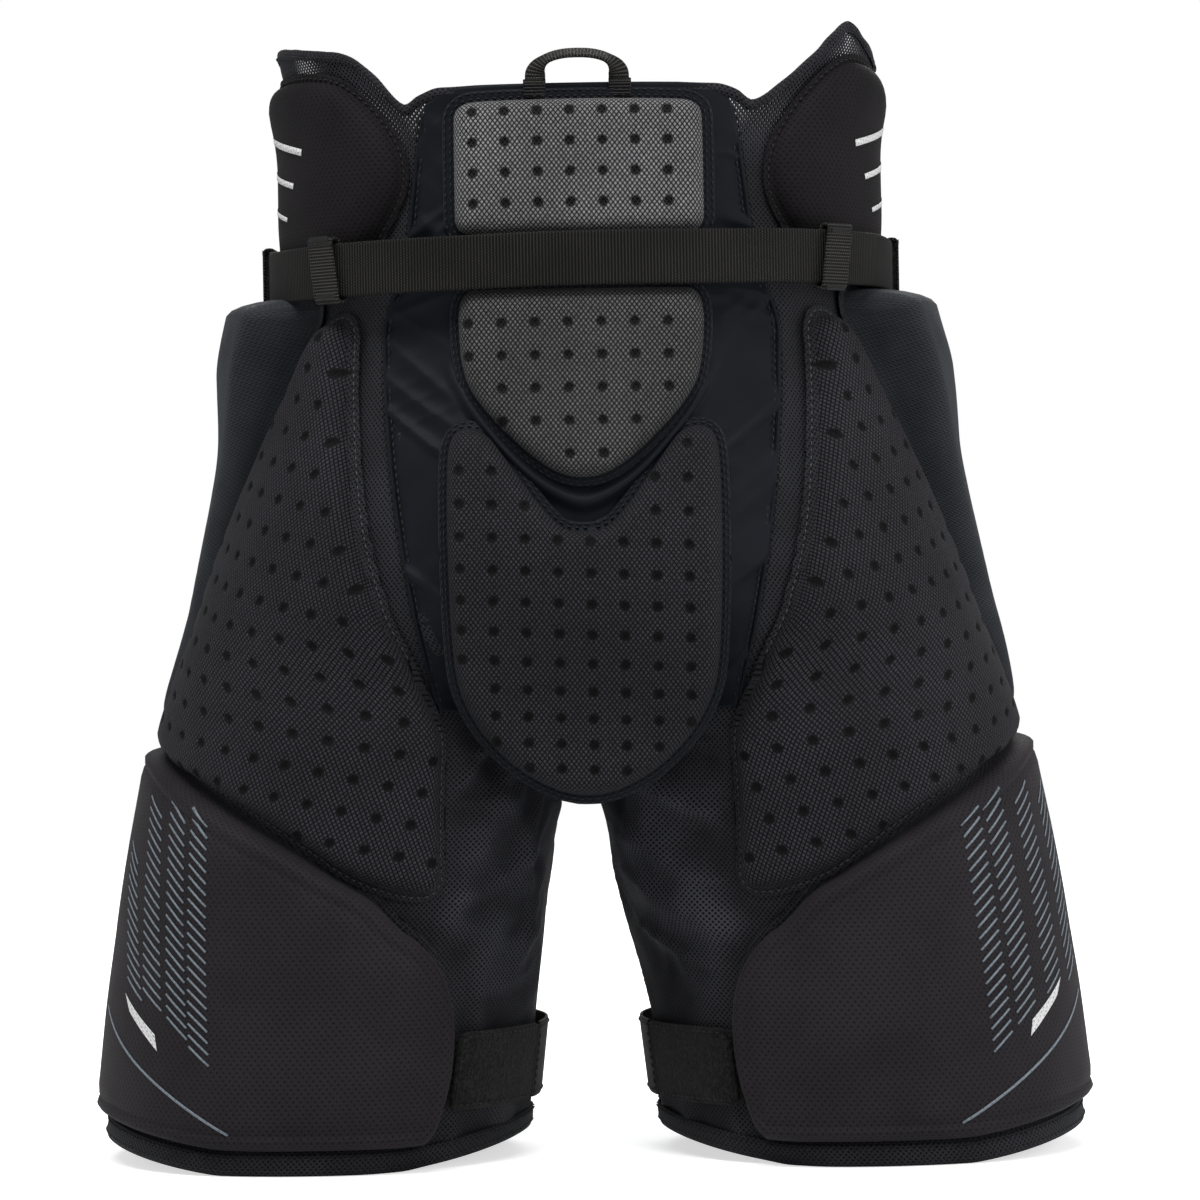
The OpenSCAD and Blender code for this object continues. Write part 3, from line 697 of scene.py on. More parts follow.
def diamond_mesh(light, dark, tilt=0.0, pitch=1.75, tint=(1.0, 0.985, 1.0)):
    """Moulded pad cover: a diamond knit with dark perforations where holes go through the foam; their darkness is
    painted shade for the depth of the holes.
    """
    def paint():
        u, v = flat_uv()
        u, v = turned(u, v, tilt)
        wobble = (cloud(7.0) - 0.5) * 0.5
        cell = lattice_cells(u + wobble, v + wobble, pitch, 52)
        thread = ramp(cell, 0.12, 0.52)
        grain = ramp(cloud(0.9, 1.0), 0.25, 0.75, (0.66, 1.34))
        patchy = ramp(cloud(45.0), 0.3, 0.7, (0.86, 1.12))
        face = blend_colour(thread, grey(dark, tint), grey(light, tint))
        away = 4.0 - vertex_value("hole") * 2.4
        hole = 1.0 - ramp(away - thread * 1.0, 1.35, 1.75)
        # painted shade: over each perforation the threads are dimmed and the gaps near black, for the shade inside
        # the hole
        shaded_hole = blend_colour(ramp(cell, 0.0, 0.28), grey(light * 0.25, tint), grey(0.0005))
        colour = blend_colour(hole, face, shaded_hole)
        return {"colour": scaled(colour, grain * patchy), "rough": 0.68, "spec": 0.1, "sheen": 0.02,
                "height": thread * 0.28 * (1.0 - hole * 1.7), "bump": 0.9}
    return paint


def scaled(colour, factor):
    n = TREE.nodes.new("ShaderNodeVectorMath")
    n.operation = "SCALE"
    feed(n.inputs[0], colour) if isinstance(colour, E) else setattr(n.inputs[0], "default_value", colour[:3])
    feed(n.inputs["Scale"], factor)
    return E(n.outputs[0])


def stretch_cloth():
    u, v = flat_uv()
    fine = absolute(frac(u / 0.55) - 0.5) + absolute(frac(v / 0.7) - 0.5)
    tone = ramp(cloud(30.0), 0.3, 0.7, (0.82, 1.18))
    return {"colour": scaled((0.0050, 0.0059, 0.0088), tone), "rough": 0.56, "spec": 0.10,
            "sheen": 0.04, "sheen_rough": 0.4, "sheen_tint": (0.78, 0.87, 1.0),
            "height": fine * 0.06 + cloud(1.2) * 0.05, "bump": 0.5}


def air_mesh(open_net=False):
    def paint():
        u, v = flat_uv()
        hole = dots(u, v, 2.6, 1.3, 0.40, 0.74)
        fine = absolute(frac(u / 0.75 + v / 0.9) - 0.5)
        # painted highlight and painted shade: the folds' relief lightens the mesh on fold crests (raised) and darkens
        # it in fold valleys (sunk)
        tone = ramp(cloud(26.0), 0.3, 0.7, (0.75, 1.2)) * (0.96 + vertex_value("raised") * 0.75)
        tone = tone * (1.0 - vertex_value("sunk") * 0.55)
        face = scaled((0.0205, 0.0205, 0.0248), tone * (0.5 + fine * 1.8))
        # painted shade: the holes are near black for the shaded inside of the garment seen through them
        look = {"colour": blend_colour(hole, face, grey(0.0008)), "rough": 0.72, "spec": 0.14,
                "sheen": 0.03, "sheen_tint": (0.85, 0.92, 1.0),
                "height": (1.0 - hole) * 0.35 + fine * 0.1, "bump": 0.8}
        if open_net:
            look["clear"] = dots(u, v, 2.6, 1.3, 0.40, 0.64) * vertex_value("open")
        return look
    return paint


def ribbed_knit():
    u, v = flat_uv()
    a, b = turned(u, v, -8)
    rib = absolute(frac(a / 2.4 + 0.5 * ramp(frac(b / 2.6), 0.49, 0.51)) - 0.5) * 2.0
    hatch = absolute(frac((a * 0.12 + b) / 1.3) - 0.5) * 2.0
    knit = ramp(rib * 0.45 + hatch * 0.55, 0.25, 0.75)
    tone = ramp(cloud(30.0), 0.3, 0.7, (0.82, 1.15))
    colour = blend_colour(knit, (0.0120, 0.0132, 0.0156), (0.0315, 0.0338, 0.0390))
    return {"colour": scaled(colour, tone), "rough": 0.74, "spec": 0.12, "sheen": 0.04,
            "sheen_tint": (0.88, 0.95, 1.0), "height": knit * 0.25, "bump": 0.8}


def dotted_tricot(level, spec):
    def paint():
        u, v = flat_uv()
        dot = dots(u, v, 2.9, 1.9, 0.30, 0.75)
        course = absolute(frac(v / 0.95) - 0.5)
        tone = ramp(cloud(35.0), 0.3, 0.7, (0.85 * level, 1.15 * level))
        colour = blend_colour(dot, (0.0150, 0.0128, 0.0148), (0.0045, 0.0040, 0.0045))
        return {"colour": scaled(colour, tone), "rough": 0.7, "spec": spec, "sheen": 0.03 * level,
                "sheen_tint": (1.0, 0.93, 0.97), "height": (1.0 - dot) * 0.22 + course * 0.05, "bump": 0.7}
    return paint


def flange_cloth():
    u, v = flat_uv()
    weave = lattice_cells(u, v, 1.3, 45)
    tone = ramp(cloud(18.0), 0.3, 0.7, (0.8, 1.2))
    return {"colour": scaled(blend_colour(ramp(weave, 0.1, 0.7), grey(0.004), grey(0.0135)), tone),
            "rough": 0.78, "spec": 0.12, "sheen": 0.02, "height": weave * 0.16 + cloud(1.5) * 0.1, "bump": 0.7}


def webbing(level):
    def paint():
        u, v = flat_uv()
        rib = absolute(frac(u / 1.5) - 0.5) * 2.0
        pick = absolute(frac((v + u * 0.5) / 1.3) - 0.5) * 2.0
        body = ramp(rib * 0.8 + pick * 0.35, 0.45, 0.95)
        tone = ramp(cloud(20.0), 0.3, 0.7, (0.82 * level, 1.15 * level))
        colour = blend_colour(body, (0.0012, 0.0012, 0.0011), (0.0380, 0.0360, 0.0320))
        return {"colour": scaled(colour, tone), "rough": 0.62, "spec": 0.13, "sheen": 0.02 * level,
                "height": body * 0.5, "bump": 1.0}
    return paint


def fuzzy_loop():
    curl = cloud(1.7, 4.0, 0.75)
    tone = ramp(cloud(6.0), 0.3, 0.7, (0.7, 1.25))
    colour = blend_colour(ramp(curl, 0.40, 0.60), grey(0.0004), grey(0.0115, (1.0, 0.98, 0.94)))
    return {"colour": scaled(colour, tone), "rough": 0.95, "spec": 0.03, "sheen": 0.08,
            "sheen_rough": 0.6, "height": curl * 1.2, "bump": 1.0}


def moulded_plastic():
    grain = cloud(0.5, 3.0, 0.6)
    return {"colour": scaled((0.012, 0.012, 0.0125), ramp(cloud(25.0), 0.3, 0.7, (0.85, 1.15))),
            "rough": ramp(grain, 0.3, 0.7, (0.33, 0.5)), "spec": 0.45, "height": grain * 0.06, "bump": 0.6}


def thread_look(value, tint=(1, 1, 1)):
    def paint():
        u, v = flat_uv()
        ply = absolute(frac((u + v) / 0.5) - 0.5)
        return {"colour": scaled(grey(value, tint), 0.7 + ply * 0.8), "rough": 0.6, "spec": 0.3,
                "height": ply * 0.1, "bump": 0.5}
    return paint


def print_ink(colour):
    def paint():
        u, v = flat_uv()
        pore = dots(u, v, 2.9, 1.9, 0.30, 0.60)
        grain = ramp(cloud(0.8, 2.0), 0.3, 0.7, (0.88, 1.1))
        return {"colour": scaled(blend_colour(pore * 0.45, colour, grey(0.02)), grain), "rough": 0.5,
                "spec": 0.35, "height": (1.0 - pore) * 0.15, "bump": 0.5}
    return paint


def floor_look():
    seen_by_camera = E(TREE.nodes.new("ShaderNodeLightPath").outputs["Is Camera Ray"])
    return {"colour": scaled((0.86, 0.86, 0.86), ramp(cloud(90.0), 0.3, 0.7, (0.99, 1.01))), "rough": 0.8,
            "spec": 0.1, "glow": seen_by_camera * 0.62}


MAT = {key: material(key, paint) for key, paint in {
    # painted light: the spine pads use the diamond cover of the tail and rear pads with its threads painted lighter,
    # most on the upper pad, where the overhead light falls
    "spine_mesh_painted_light": diamond_mesh(0.195, 0.004),
    "lower_mesh_painted_light": diamond_mesh(0.088, 0.003),
    "tail_mesh": diamond_mesh(0.028, 0.0015, tint=(1.0, 0.98, 1.14)),
    "rear_mesh": diamond_mesh(0.028, 0.0015, 13.0, tint=(1.0, 0.97, 1.16)),
    "stretch": stretch_cloth,
    "air_mesh": air_mesh(),
    "open_mesh": air_mesh(True),
    "ribbed": ribbed_knit,
    "tricot": dotted_tricot(1.0, 0.12),
    "dark_tricot": dotted_tricot(0.6, 0.08),
    "flange": flange_cloth,
    "webbing": webbing(1.3),
    "belt_webbing": webbing(0.72),
    "fuzzy": fuzzy_loop,
    "plastic": moulded_plastic,
    "thread": thread_look(0.014),
    "grey_thread": thread_look(0.06),
    "slate_ink": print_ink((0.155, 0.185, 0.215)),
    "pale_ink": print_ink((0.66, 0.66, 0.66)),
    "floor": floor_look,
}.items()}

# ---------------------------------------------------------------- outlines of the pads

UPPER = mirrored([(38, 492), (57, 491), (57.5, 476), (57.5, 446), (57.5, 431), (44, 430)])
LOWER = mirrored([(0, 405), (40, 405), (57, 405), (56, 372), (50, 354), (20, 323), (0, 315.5)])
TAIL = mirrored([(0, 293), (13, 295), (38, 331), (46, 341), (60, 341), (63, 322), (62, 246),
                 (58, 214), (34, 184), (0, 169)])
REAR = [(100, 394), (97, 366), (84, 318), (74, 285), (60, 248), (69, 209), (66, 150), (63, 125),
        (86, 133), (106, 156), (133, 179), (167, 193), (174, 204), (170, 240), (161, 290),
        (146, 333), (131, 366), (124, 384), (114, 394)]
HIP = [(122, 407), (141, 376), (157, 340), (171, 292), (178, 242), (181, 206), (196, 206),
       (216, 232), (246, 262), (266, 310), (268, 372), (250, 405), (180, 407)]
KIDNEY = {"left": [(92, 428), (104, 412), (236, 412), (256, 428), (254, 462), (226, 500), (180, 508),
                   (112, 508), (92, 496), (78, 475), (74, 458), (80, 444)],
          "right": [(96, 430), (108, 412), (236, 412), (256, 428), (254, 462), (226, 500), (180, 504),
                    (138, 513), (118, 512), (98, 494), (84, 470), (82, 452), (88, 440)]}
LEG_CUT = math.tan(math.radians(25))


def guard_bottom(q):
    return hem_z(q) + 11


def guard_top(q):
    q = np.asarray(q, float)
    back = mix(116, 203, (smooth((q - 62) / 150) * 1.06) ** 0.72) + 4 * smooth((q - 80) / 30) * smooth((178 - q) / 20)
    front = 184 - forward(q, 184, 17) * LEG_CUT + 10 * (1 - smooth((q - 180) / 30))
    return np.where(q < 180, back, front)


def guard_outline():
    bottom = [(q, float(guard_bottom(q))) for q in np.linspace(60, 291, 30)]
    top = [(q, float(guard_top(q))) for q in np.linspace(291, 83, 28)]
    return bottom + top + [(75, 113), (67.5, 105), (61, 91), (57, 72), (56, 50), (57, 32)]


def to_flat(outline, wrap, n=2):
    """A (q, z) outline as rounded flat millimetres."""
    p = rounded(outline, n)
    return np.stack([wrap.s_of(p[:, 0], p[:, 1]), p[:, 1]], 1)


# ---------------------------------------------------------------- the cloth

def pad_clearance(q, z):
    """Rough distance in millimetres from the nearest pad outline, negative under a pad."""
    per_degree = 1.8
    pts = np.stack([np.ravel(q) * per_degree, np.ravel(z)], 1)
    far = np.full(len(pts), 99.0)
    for outline in (REAR, HIP, KIDNEY["left"], guard_outline()):
        p = rounded(outline)
        p = resample(np.stack([p[:, 0] * per_degree, p[:, 1]], 1), 8.0)
        far = np.minimum(far, -signed(pts, p))
    return far.reshape(np.shape(q))


def shell_folds(q, z, side):
    """How far the mesh cloth stands off the smooth shell."""
    seed = 11 if side == "left" else 29
    far = pad_clearance(q, z)
    free = smooth((far - 6) / 14)
    c, s = cosd(q), sind(q)
    leg = smooth((230 - z) / 60)
    slant = z / 34 + 1.6 * s
    fold = ridge(c * 3.2 + slant * 0.5, s * 3.2, z / 75, seed, 3.0)
    small = noise(c * 9 + z / 18, s * 9, z / 23, seed + 1)
    inner = smooth((60 - np.minimum(q, 360 - q)) / 30)
    rows = ridge(c * 2.2, z / 21 + 0.8 * s, 0.3, seed + 2, 2.5)
    around = np.minimum(q, 360 - q)
    creases = ridge((z + 0.35 * around) / 13 + 0.5 * noise(q / 25, z / 40, 0, seed + 4), around / 90, 0.7, seed + 3, 4.0)
    crotch = smooth((216 - z) / 20) * smooth((z - 60) / 50) * smooth((84 - around) / 24)
    calm = smooth((around - 8) / 20)
    drape = ridge((z + 1.5 * around) / 27 + 0.7 * noise(q / 20, z / 60, 0, seed + 6), around / 70, 0.3, seed + 5, 3.0)
    wave = leg * (3.0 * (fold - 0.45) + 0.8 * small * calm + inner * calm * 2.0 * (rows - 0.5))
    wave = wave + (1 - leg) * 0.6 * small
    wave = wave + crotch * calm * (3.4 * (creases - 0.35) + 5.2 * (drape - 0.35))
    reach = smooth((204 - z) / 24) * smooth((z - 78) / 66)
    lean = inner * reach * (9.0 if side == "right" else 0.0)
    tucked = 1 - smooth((q - 325) / 10) * smooth((z - 200) / 12)
    # the second value is the folds' relief, which the cloth's material turns into painted highlight and painted shade
    return free * (tucked * wave + lean) - 0.7 * (1 - free * tucked), free * tucked * wave


def waist_wave(q, side):
    """How far the loose waist edge ripples."""
    return 0.9 * noise(q / 9, 0, 0, 61 if side == "left" else 62) * smooth((q - 44) / 20) * smooth((250 - q) / 40)


def cloth(side):
    """The sewn mesh shorts of one side, hem to waist."""
    mirror = side == "right"
    cols, rows = 221, 171
    q = np.linspace(0, 360, cols)[None, :]
    t = np.linspace(0, 1, rows)[:, None]
    z = mix(hem_z(q) + 0.6, top_edge(q, side) + waist_wave(q, side), t)
    q = np.broadcast_to(q, z.shape)
    wave, relief = shell_folds(q, z, side)
    lip = smooth(t / 0.02) * smooth((1 - t) / 0.03)
    wave = wave * lip + hem_out(q) * smooth((hem_z(q) + 16 - z) / 5)
    p = skin(q, z, wave)
    flare = smooth((z - 455) / 50) * smooth((q - 40) / 25) * smooth((150 - q) / 30)
    s = Wrap(90).s_of(q, z)
    uv = np.stack([s, z], -1)
    # raised and sunk carry the folds' relief to the material, which paints highlight on the crests and shade in the
    # valleys
    obj = mesh_piece(f"{side}_mesh_cloth", p.reshape(-1, 3), [tuple(reversed(f)) for f in grid_faces(rows, cols)],
                     MAT["open_mesh"], uv=uv.reshape(-1, 2), values={"open": flare.ravel(), "raised": np.clip(relief / 4.0, 0, 1).ravel(),
                               "sunk": np.clip(-relief / 2.2, 0, 1).ravel()}, mirror=mirror)
    thicken(obj, 1.2)
    on_leg(obj)
    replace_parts(obj, f"{side}_body_panel", f"{side}_leg_panel")
    return obj


def q_at_x(x, z, low, high):
    """q where the left half reaches x at each height."""
    low, high = np.full(np.shape(z), float(low)), np.full(np.shape(z), float(high))
    for _ in range(18):
        mid = (low + high) / 2
        past = skin(mid, z, 0)[..., 0] < x
        low, high = np.where(past, low, mid), np.where(past, mid, high)
    return (low + high) / 2


def panel_point(side_share, z, o, front=False):
    """Places on the middle panels: side_share runs from -1 at one seam to 1 at the other."""
    a = np.abs(side_share)
    if front:
        seam = q_at_x(-32.0, z, 360, 180)
        p = skin(360 - a * (360 - seam), z, o)
    else:
        seam = q_at_x(-seam_x(z), z, 0, 180)
        p = skin(a * seam, z, o)
    p[..., 0] = np.where(side_share < 0, p[..., 0], -p[..., 0])
    width = seam_x(z) if not front else 32.0
    keep = smooth(a / 0.25)
    p[..., 0] = np.where(a < 0.25, mix(side_share * width, p[..., 0], keep), p[..., 0])
    return p


def back_panel():
    cols, rows = 121, 201
    u = np.linspace(-1, 1, cols)[None, :]
    t = np.linspace(0, 1, rows)[:, None]
    low = mix(204, 212, np.abs(u))
    high = top_edge(72 * np.abs(u), "left") + 0.4
    z = mix(low, high, t)
    u = np.broadcast_to(u, z.shape)
    x = u * seam_x(z)
    edge = smooth((np.abs(u) - 0.45) / 0.35)
    pucker = ridge(z / 8.5 + np.abs(x) / 26, x / 40, 0, 5, 3.0) - 0.4
    drag = ridge(z / 17 - np.abs(x) / 22, x / 90, 0, 6, 2.5) - 0.4
    belt = smooth(1 - np.abs(z - 425) / 60)
    seat = smooth(1 - np.abs(z - 300) / 90)
    wave = edge * (2.6 * pucker * (0.25 + belt) + 3.4 * drag * (0.4 + seat))
    wave = wave + 0.35 * noise(x / 30, z / 30, 0, 9)
    # the loose fold that hangs between the lower spine pad and the tail pad's notch
    bowl = 307 + 42 * (np.abs(x) / 46) ** 1.7
    wave = wave + 4.2 * np.exp(-((z - bowl) / 4.0) ** 2) * smooth((62 - np.abs(x)) / 14)
    wave = wave - 2.2 * np.exp(-((z - bowl + 8.5) / 4.0) ** 2) * smooth((58 - np.abs(x)) / 14)
    rim = smooth(t / 0.02) * smooth((1 - t) / 0.02)
    p = panel_point(u, z, 1.1 + np.maximum(-0.7, wave) * rim)
    uv = np.stack([x, z], -1)
    obj = mesh_piece("back_stretch_panel", p.reshape(-1, 3), grid_faces(rows, cols), MAT["stretch"],
                     uv=uv.reshape(-1, 2))
    thicken(obj, 1.0)
    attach(obj, "waist")
    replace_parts(obj, "back_panel")


def front_panel():
    cols, rows = 41, 121
    u = np.linspace(-1, 1, cols)[None, :]
    t = np.linspace(0, 1, rows)[:, None]
    z = mix(mix(206, 236, np.abs(u)), 452.4, t)
    u = np.broadcast_to(u, z.shape)
    x = u * 32
    p = panel_point(u, z, 0.4 + 0 * z, True)
    obj = mesh_piece("front_stretch_panel", p.reshape(-1, 3),
                     [tuple(reversed(f)) for f in grid_faces(rows, cols)], MAT["stretch"],
                     uv=np.stack([x, z], -1).reshape(-1, 2))
    thicken(obj, 1.0)
    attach(obj, "waist")
    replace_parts(obj, "front_panel")


def gusset():
    """The strip under the crotch that joins both halves."""
    n, k = 49, 13
    t = np.linspace(-1, 1, n)
    depth = np.where(t < 0, t * 92, t * 90)
    rows = []
    for i in range(n):
        lift = 40 * abs(t[i]) ** 2.2
        half = mix(17.0, 9.0, abs(t[i]) ** 1.5)
        xs = np.linspace(-half, half, k)
        sag = 1.4 * (1 - (xs / half) ** 2)
        z = 197.5 + lift - sag
        rows.append(np.stack([xs, np.clip(MID_Y + depth[i], skin(0, z, -2.5)[..., 1], skin(360, z, -2.5)[..., 1]), z], 1))
    p = np.array(rows)
    p[..., 2] += 0.5 * noise(p[..., 0] / 9, p[..., 1] / 9, 0, 41)
    obj = mesh_piece("crotch_strip", p.reshape(-1, 3), grid_faces(n, k), MAT["stretch"], uv=p[..., :2].reshape(-1, 2))
    thicken(obj, 1.2, 1.0)
    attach(obj, "waist")
    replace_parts(obj, "crotch_gusset")


for side in ("left", "right"):
    cloth(side)
back_panel()
front_panel()
gusset()

# ---------------------------------------------------------------- pads in the middle of the back


def square_grid(xs, zs):
    return np.array([(x, z) for x in xs for z in zs])


def spine_place(p, o):
    return back_point(p[:, 0], p[:, 1], o, back_d)


def tail_place(p, o):
    return back_point(p[:, 0], p[:, 1], o, tail_depth)


def steps(first, pitch, n):
    return [first + pitch * i for i in range(n)]


def tail_holes():
    rows = [319 - 15.6 * k + 0.22 * k * k for k in range(-1, 13)]
    return np.array([(x, z - 0.05 * x) for z in rows for x in steps(-56.6, 14.8, 8)])


def middle_pad(name, outline, place, high, holes, mat, nodes, seed, flange):
    flat = rounded(outline)
    obj = pad(name, flat, place, lambda p: np.full(len(p), high), flange, 3.4, [MAT[mat], MAT["stretch"]],
              pitch=2.7, holes=holes, dimple=1.5, shoulder=7.0, seed=seed)
    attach(obj, "waist")
    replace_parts(obj, *nodes)
    for k, d in enumerate((-1.4, 1.0 - flange)):
        row = stitches(f"{name}_stitches_{k}", loop_at(flat, d, 2.0), place, 3.3, MAT["thread"])
        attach(row, "waist")


# the spine pads' covers carry painted light: their threads are lighter towards the top
middle_pad("upper_spine_pad", UPPER, spine_place, 14.0,
           square_grid(steps(-48.5, 14.9, 8), steps(486, -14, 5)), "spine_mesh_painted_light",
           ("upper_spine_cover", "upper_spine_foam"), 3, 5.0)
middle_pad("lower_spine_pad", LOWER, spine_place, 14.0,
           square_grid(steps(-51.6, 15.2, 8), steps(389, -15.1, 5)), "lower_mesh_painted_light",
           ("lower_spine_cover", "lower_spine_foam"), 4, 4.0)
middle_pad("tail_pad", TAIL, tail_place, 16.0, tail_holes(), "tail_mesh",
           ("tail_cover", "tail_plate", "tail_foam"), 5, 4.0)

# ---------------------------------------------------------------- pads of each side

WRAP_BACK, WRAP_SIDE = Wrap(110), Wrap(180)


def turned_grid(centre, pitch, degrees, n=16):
    i = np.arange(-n, n + 1)
    a, b = np.meshgrid(i * pitch[0], i * pitch[1])
    c, s = math.cos(math.radians(degrees)), math.sin(math.radians(degrees))
    return np.stack([centre[0] + a.ravel() * c - b.ravel() * s, centre[1] + a.ravel() * s + b.ravel() * c], 1)


def wrapped(wrap, extra=lambda z: 0.0):
    def place(p, o):
        return skin(wrap.q_of(p[:, 0], p[:, 1]), p[:, 1], o + extra(p[:, 1]))
    return place


def puff(obj, cap, pressure=3.0, stiff=12.0, pin_below=1.5):
    """Inflates the raised part of a closed pad with a cloth simulation, and keeps its mesh."""
    mesh = obj.data
    n = len(mesh.vertices)
    rest = np.zeros(n * 3)
    mesh.vertices.foreach_get("co", rest)
    rest = rest.reshape(-1, 3)
    edge = np.zeros(n, np.float32)
    mesh.attributes["edge"].data.foreach_get("value", edge)
    group = obj.vertex_groups.new(name="sewn")
    for i in np.nonzero(edge < pin_below)[0]:
        group.add([int(i)], 1.0, "REPLACE")
    cloth_mod = obj.modifiers.new("swell", "CLOTH")
    st = cloth_mod.settings
    st.vertex_group_mass = "sewn"
    st.use_pressure = True
    st.uniform_pressure_force = pressure
    st.effector_weights.gravity = 0.0
    st.tension_stiffness = stiff
    st.compression_stiffness = stiff
    st.shear_stiffness = stiff * 0.6
    st.bending_stiffness = 0.6
    st.quality = 4
    cloth_mod.collision_settings.use_collision = False
    cloth_mod.point_cache.frame_start = 1
    cloth_mod.point_cache.frame_end = 20
    for f in range(1, 17):
        bpy.context.scene.frame_set(f)
    deps = bpy.context.evaluated_depsgraph_get()
    got = np.zeros(n * 3)
    obj.evaluated_get(deps).data.vertices.foreach_get("co", got)
    obj.modifiers.clear()
    obj.vertex_groups.clear()
    bpy.context.scene.frame_set(1)
    move = got.reshape(-1, 3) - rest
    size = np.linalg.norm(move, axis=1)
    limit = cap * MM
    move *= (limit * np.tanh(size / limit) / np.maximum(size, 1e-9))[:, None]
    mesh.vertices.foreach_set("co", (rest + move).ravel())
    mesh.update()


def side_pad(side, kind, flat, place, rise, mat, nodes, slot, crossing, **kw):
    mirror = side == "right"
    name = f"{side}_{kind}_pad"
    swell, trim = kw.pop("swell", 0), kw.pop("trim")
    rows = kw.pop("rows", ((-1.5, "thread"),))
    obj = pad(name, flat, place, rise, mats=[MAT[mat], MAT[trim]], mirror=mirror, flip=True, **kw)
    if swell:
        puff(obj, swell)
    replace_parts(obj, *[f"{side}_{n}" for n in nodes])
    parts = [obj]
    for k, (d, thread) in enumerate(rows):
        row = stitches(f"{name}_stitches_{k}", loop_at(flat, d, 2.0), place, kw["flange_o"] - 0.05,
                       MAT[thread], mirror=mirror)
        parts.append(row)
    for part in parts:
        if crossing:
            on_leg(part)
        else:
            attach(part, "waist")


def rear_rise(p):
    return np.full(len(p), 13.0)


def hip_rise(p, full=0.0):
    z = p[:, 1]
    return full * smooth((z - 205) / 45) * smooth((400 - z) / 60) + 2 + 24.7 * mix(0.58, 1, smooth((z - 205) / 175)) + 13 * smooth((z - 320) / 80)


def kidney_rise(p):
    return np.full(len(p), 11.6)


def guard_rise(p):
    return np.full(len(p), 18.6)


for side in ("left", "right"):
    side_pad(side, "rear", to_flat(REAR, WRAP_BACK), wrapped(WRAP_BACK, lambda z: 1.5), rear_rise, "rear_mesh",
             ("rear_cover", "rear_foam"), "dark_mesh", True, flange=4.0, flange_o=0.9,
             pitch=3.2, holes=turned_grid((0, 250), (15.3, 14.8), 13), dimple=1.4, shoulder=8.0,
             seed=21 if side == "left" else 22, trim="air_mesh", rows=((-1.4, "grey_thread"),))
    side_pad(side, "hip", to_flat(HIP, WRAP_SIDE), wrapped(WRAP_SIDE),
             hip_rise if side == "left" else lambda p: hip_rise(p, 5.0), "ribbed",
             ("hip_cover", "hip_plate", "hip_foam"), "ribbed_knit", True, flange=5.0, flange_o=2.2,
             pitch=4.0, shoulder=7.0, swell=1.5, seed=31, trim="ribbed")
    side_pad(side, "kidney", to_flat(KIDNEY[side], WRAP_SIDE), wrapped(WRAP_SIDE), kidney_rise, "dark_tricot",
             ("kidney_cover", "kidney_foam"), "dotted_tricot", False, flange=4.0, flange_o=1.6,
             pitch=4.0, shoulder=14.0, swell=2.5, seed=41, trim="dark_tricot")
    side_pad(side, "guard", to_flat(guard_outline(), WRAP_SIDE, 1), wrapped(WRAP_SIDE), guard_rise, "tricot",
             ("guard_cover", "guard_plate", "guard_foam"), "dotted_tricot", True, flange=4.0, flange_o=2.0,
             pitch=4.2, shoulder=5.5, swell=1.0, seed=51, trim="air_mesh", roll=8.5)

# ---------------------------------------------------------------- prints

def surface_of(name):
    mesh = bpy.data.objects[name].data
    return BVHTree.FromPolygons([v.co for v in mesh.vertices], [p.vertices for p in mesh.polygons])


def laid_on(tree, flat, place, mirror, lift):
    """3-D millimetre points where flat points fall on a pad's surface, or None off the pad."""
    out = []
    far, near = place(flat, 60.0) * MM, place(flat, -4.0) * MM
    for a, b in zip(far, near):
        if mirror:
            a, b = a * (-1, 1, 1), b * (-1, 1, 1)
        way = Vector(b - a)
        spot, normal, _, _ = tree.ray_cast(Vector(a), way.normalized(), way.length)
        if spot is None:
            return None
        if normal.dot(way) > 0:
            normal = -normal
        p = np.array(spot + normal * lift * MM) / MM
        out.append(p * (-1, 1, 1) if mirror else p)
    return out


def decal(name, tree, strips, place, mat, side, crossing):
    """Thin printed strips: each is two equal runs of flat points, its edges."""
    verts, faces, uv = [], [], []
    for one, two in strips:
        a = laid_on(tree, one, place, side == "right", 0.22)
        b = laid_on(tree, two, place, side == "right", 0.22)
        if a is None or b is None:
            continue
        k, n = len(verts), len(one)
        verts += a + b
        uv += list(one) + list(two)
        faces += [(k + i, k + i + 1, k + n + i + 1, k + n + i) for i in range(n - 1)]
    obj = mesh_piece(name, verts, faces, MAT[mat], uv=uv, mirror=side == "right")
    thicken(obj, 0.14, 1.0)
    on_leg(obj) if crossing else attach(obj, "waist")


def stroke(a, b, width, n=4):
    """A straight strip from a to b."""
    a, b = np.array(a, float), np.array(b, float)
    d = (b - a) / np.linalg.norm(b - a)
    side_way = np.array([-d[1], d[0]]) * width / 2
    t = np.linspace(0, 1, n)[:, None]
    mid = a + (b - a) * t
    return mid + side_way, mid - side_way


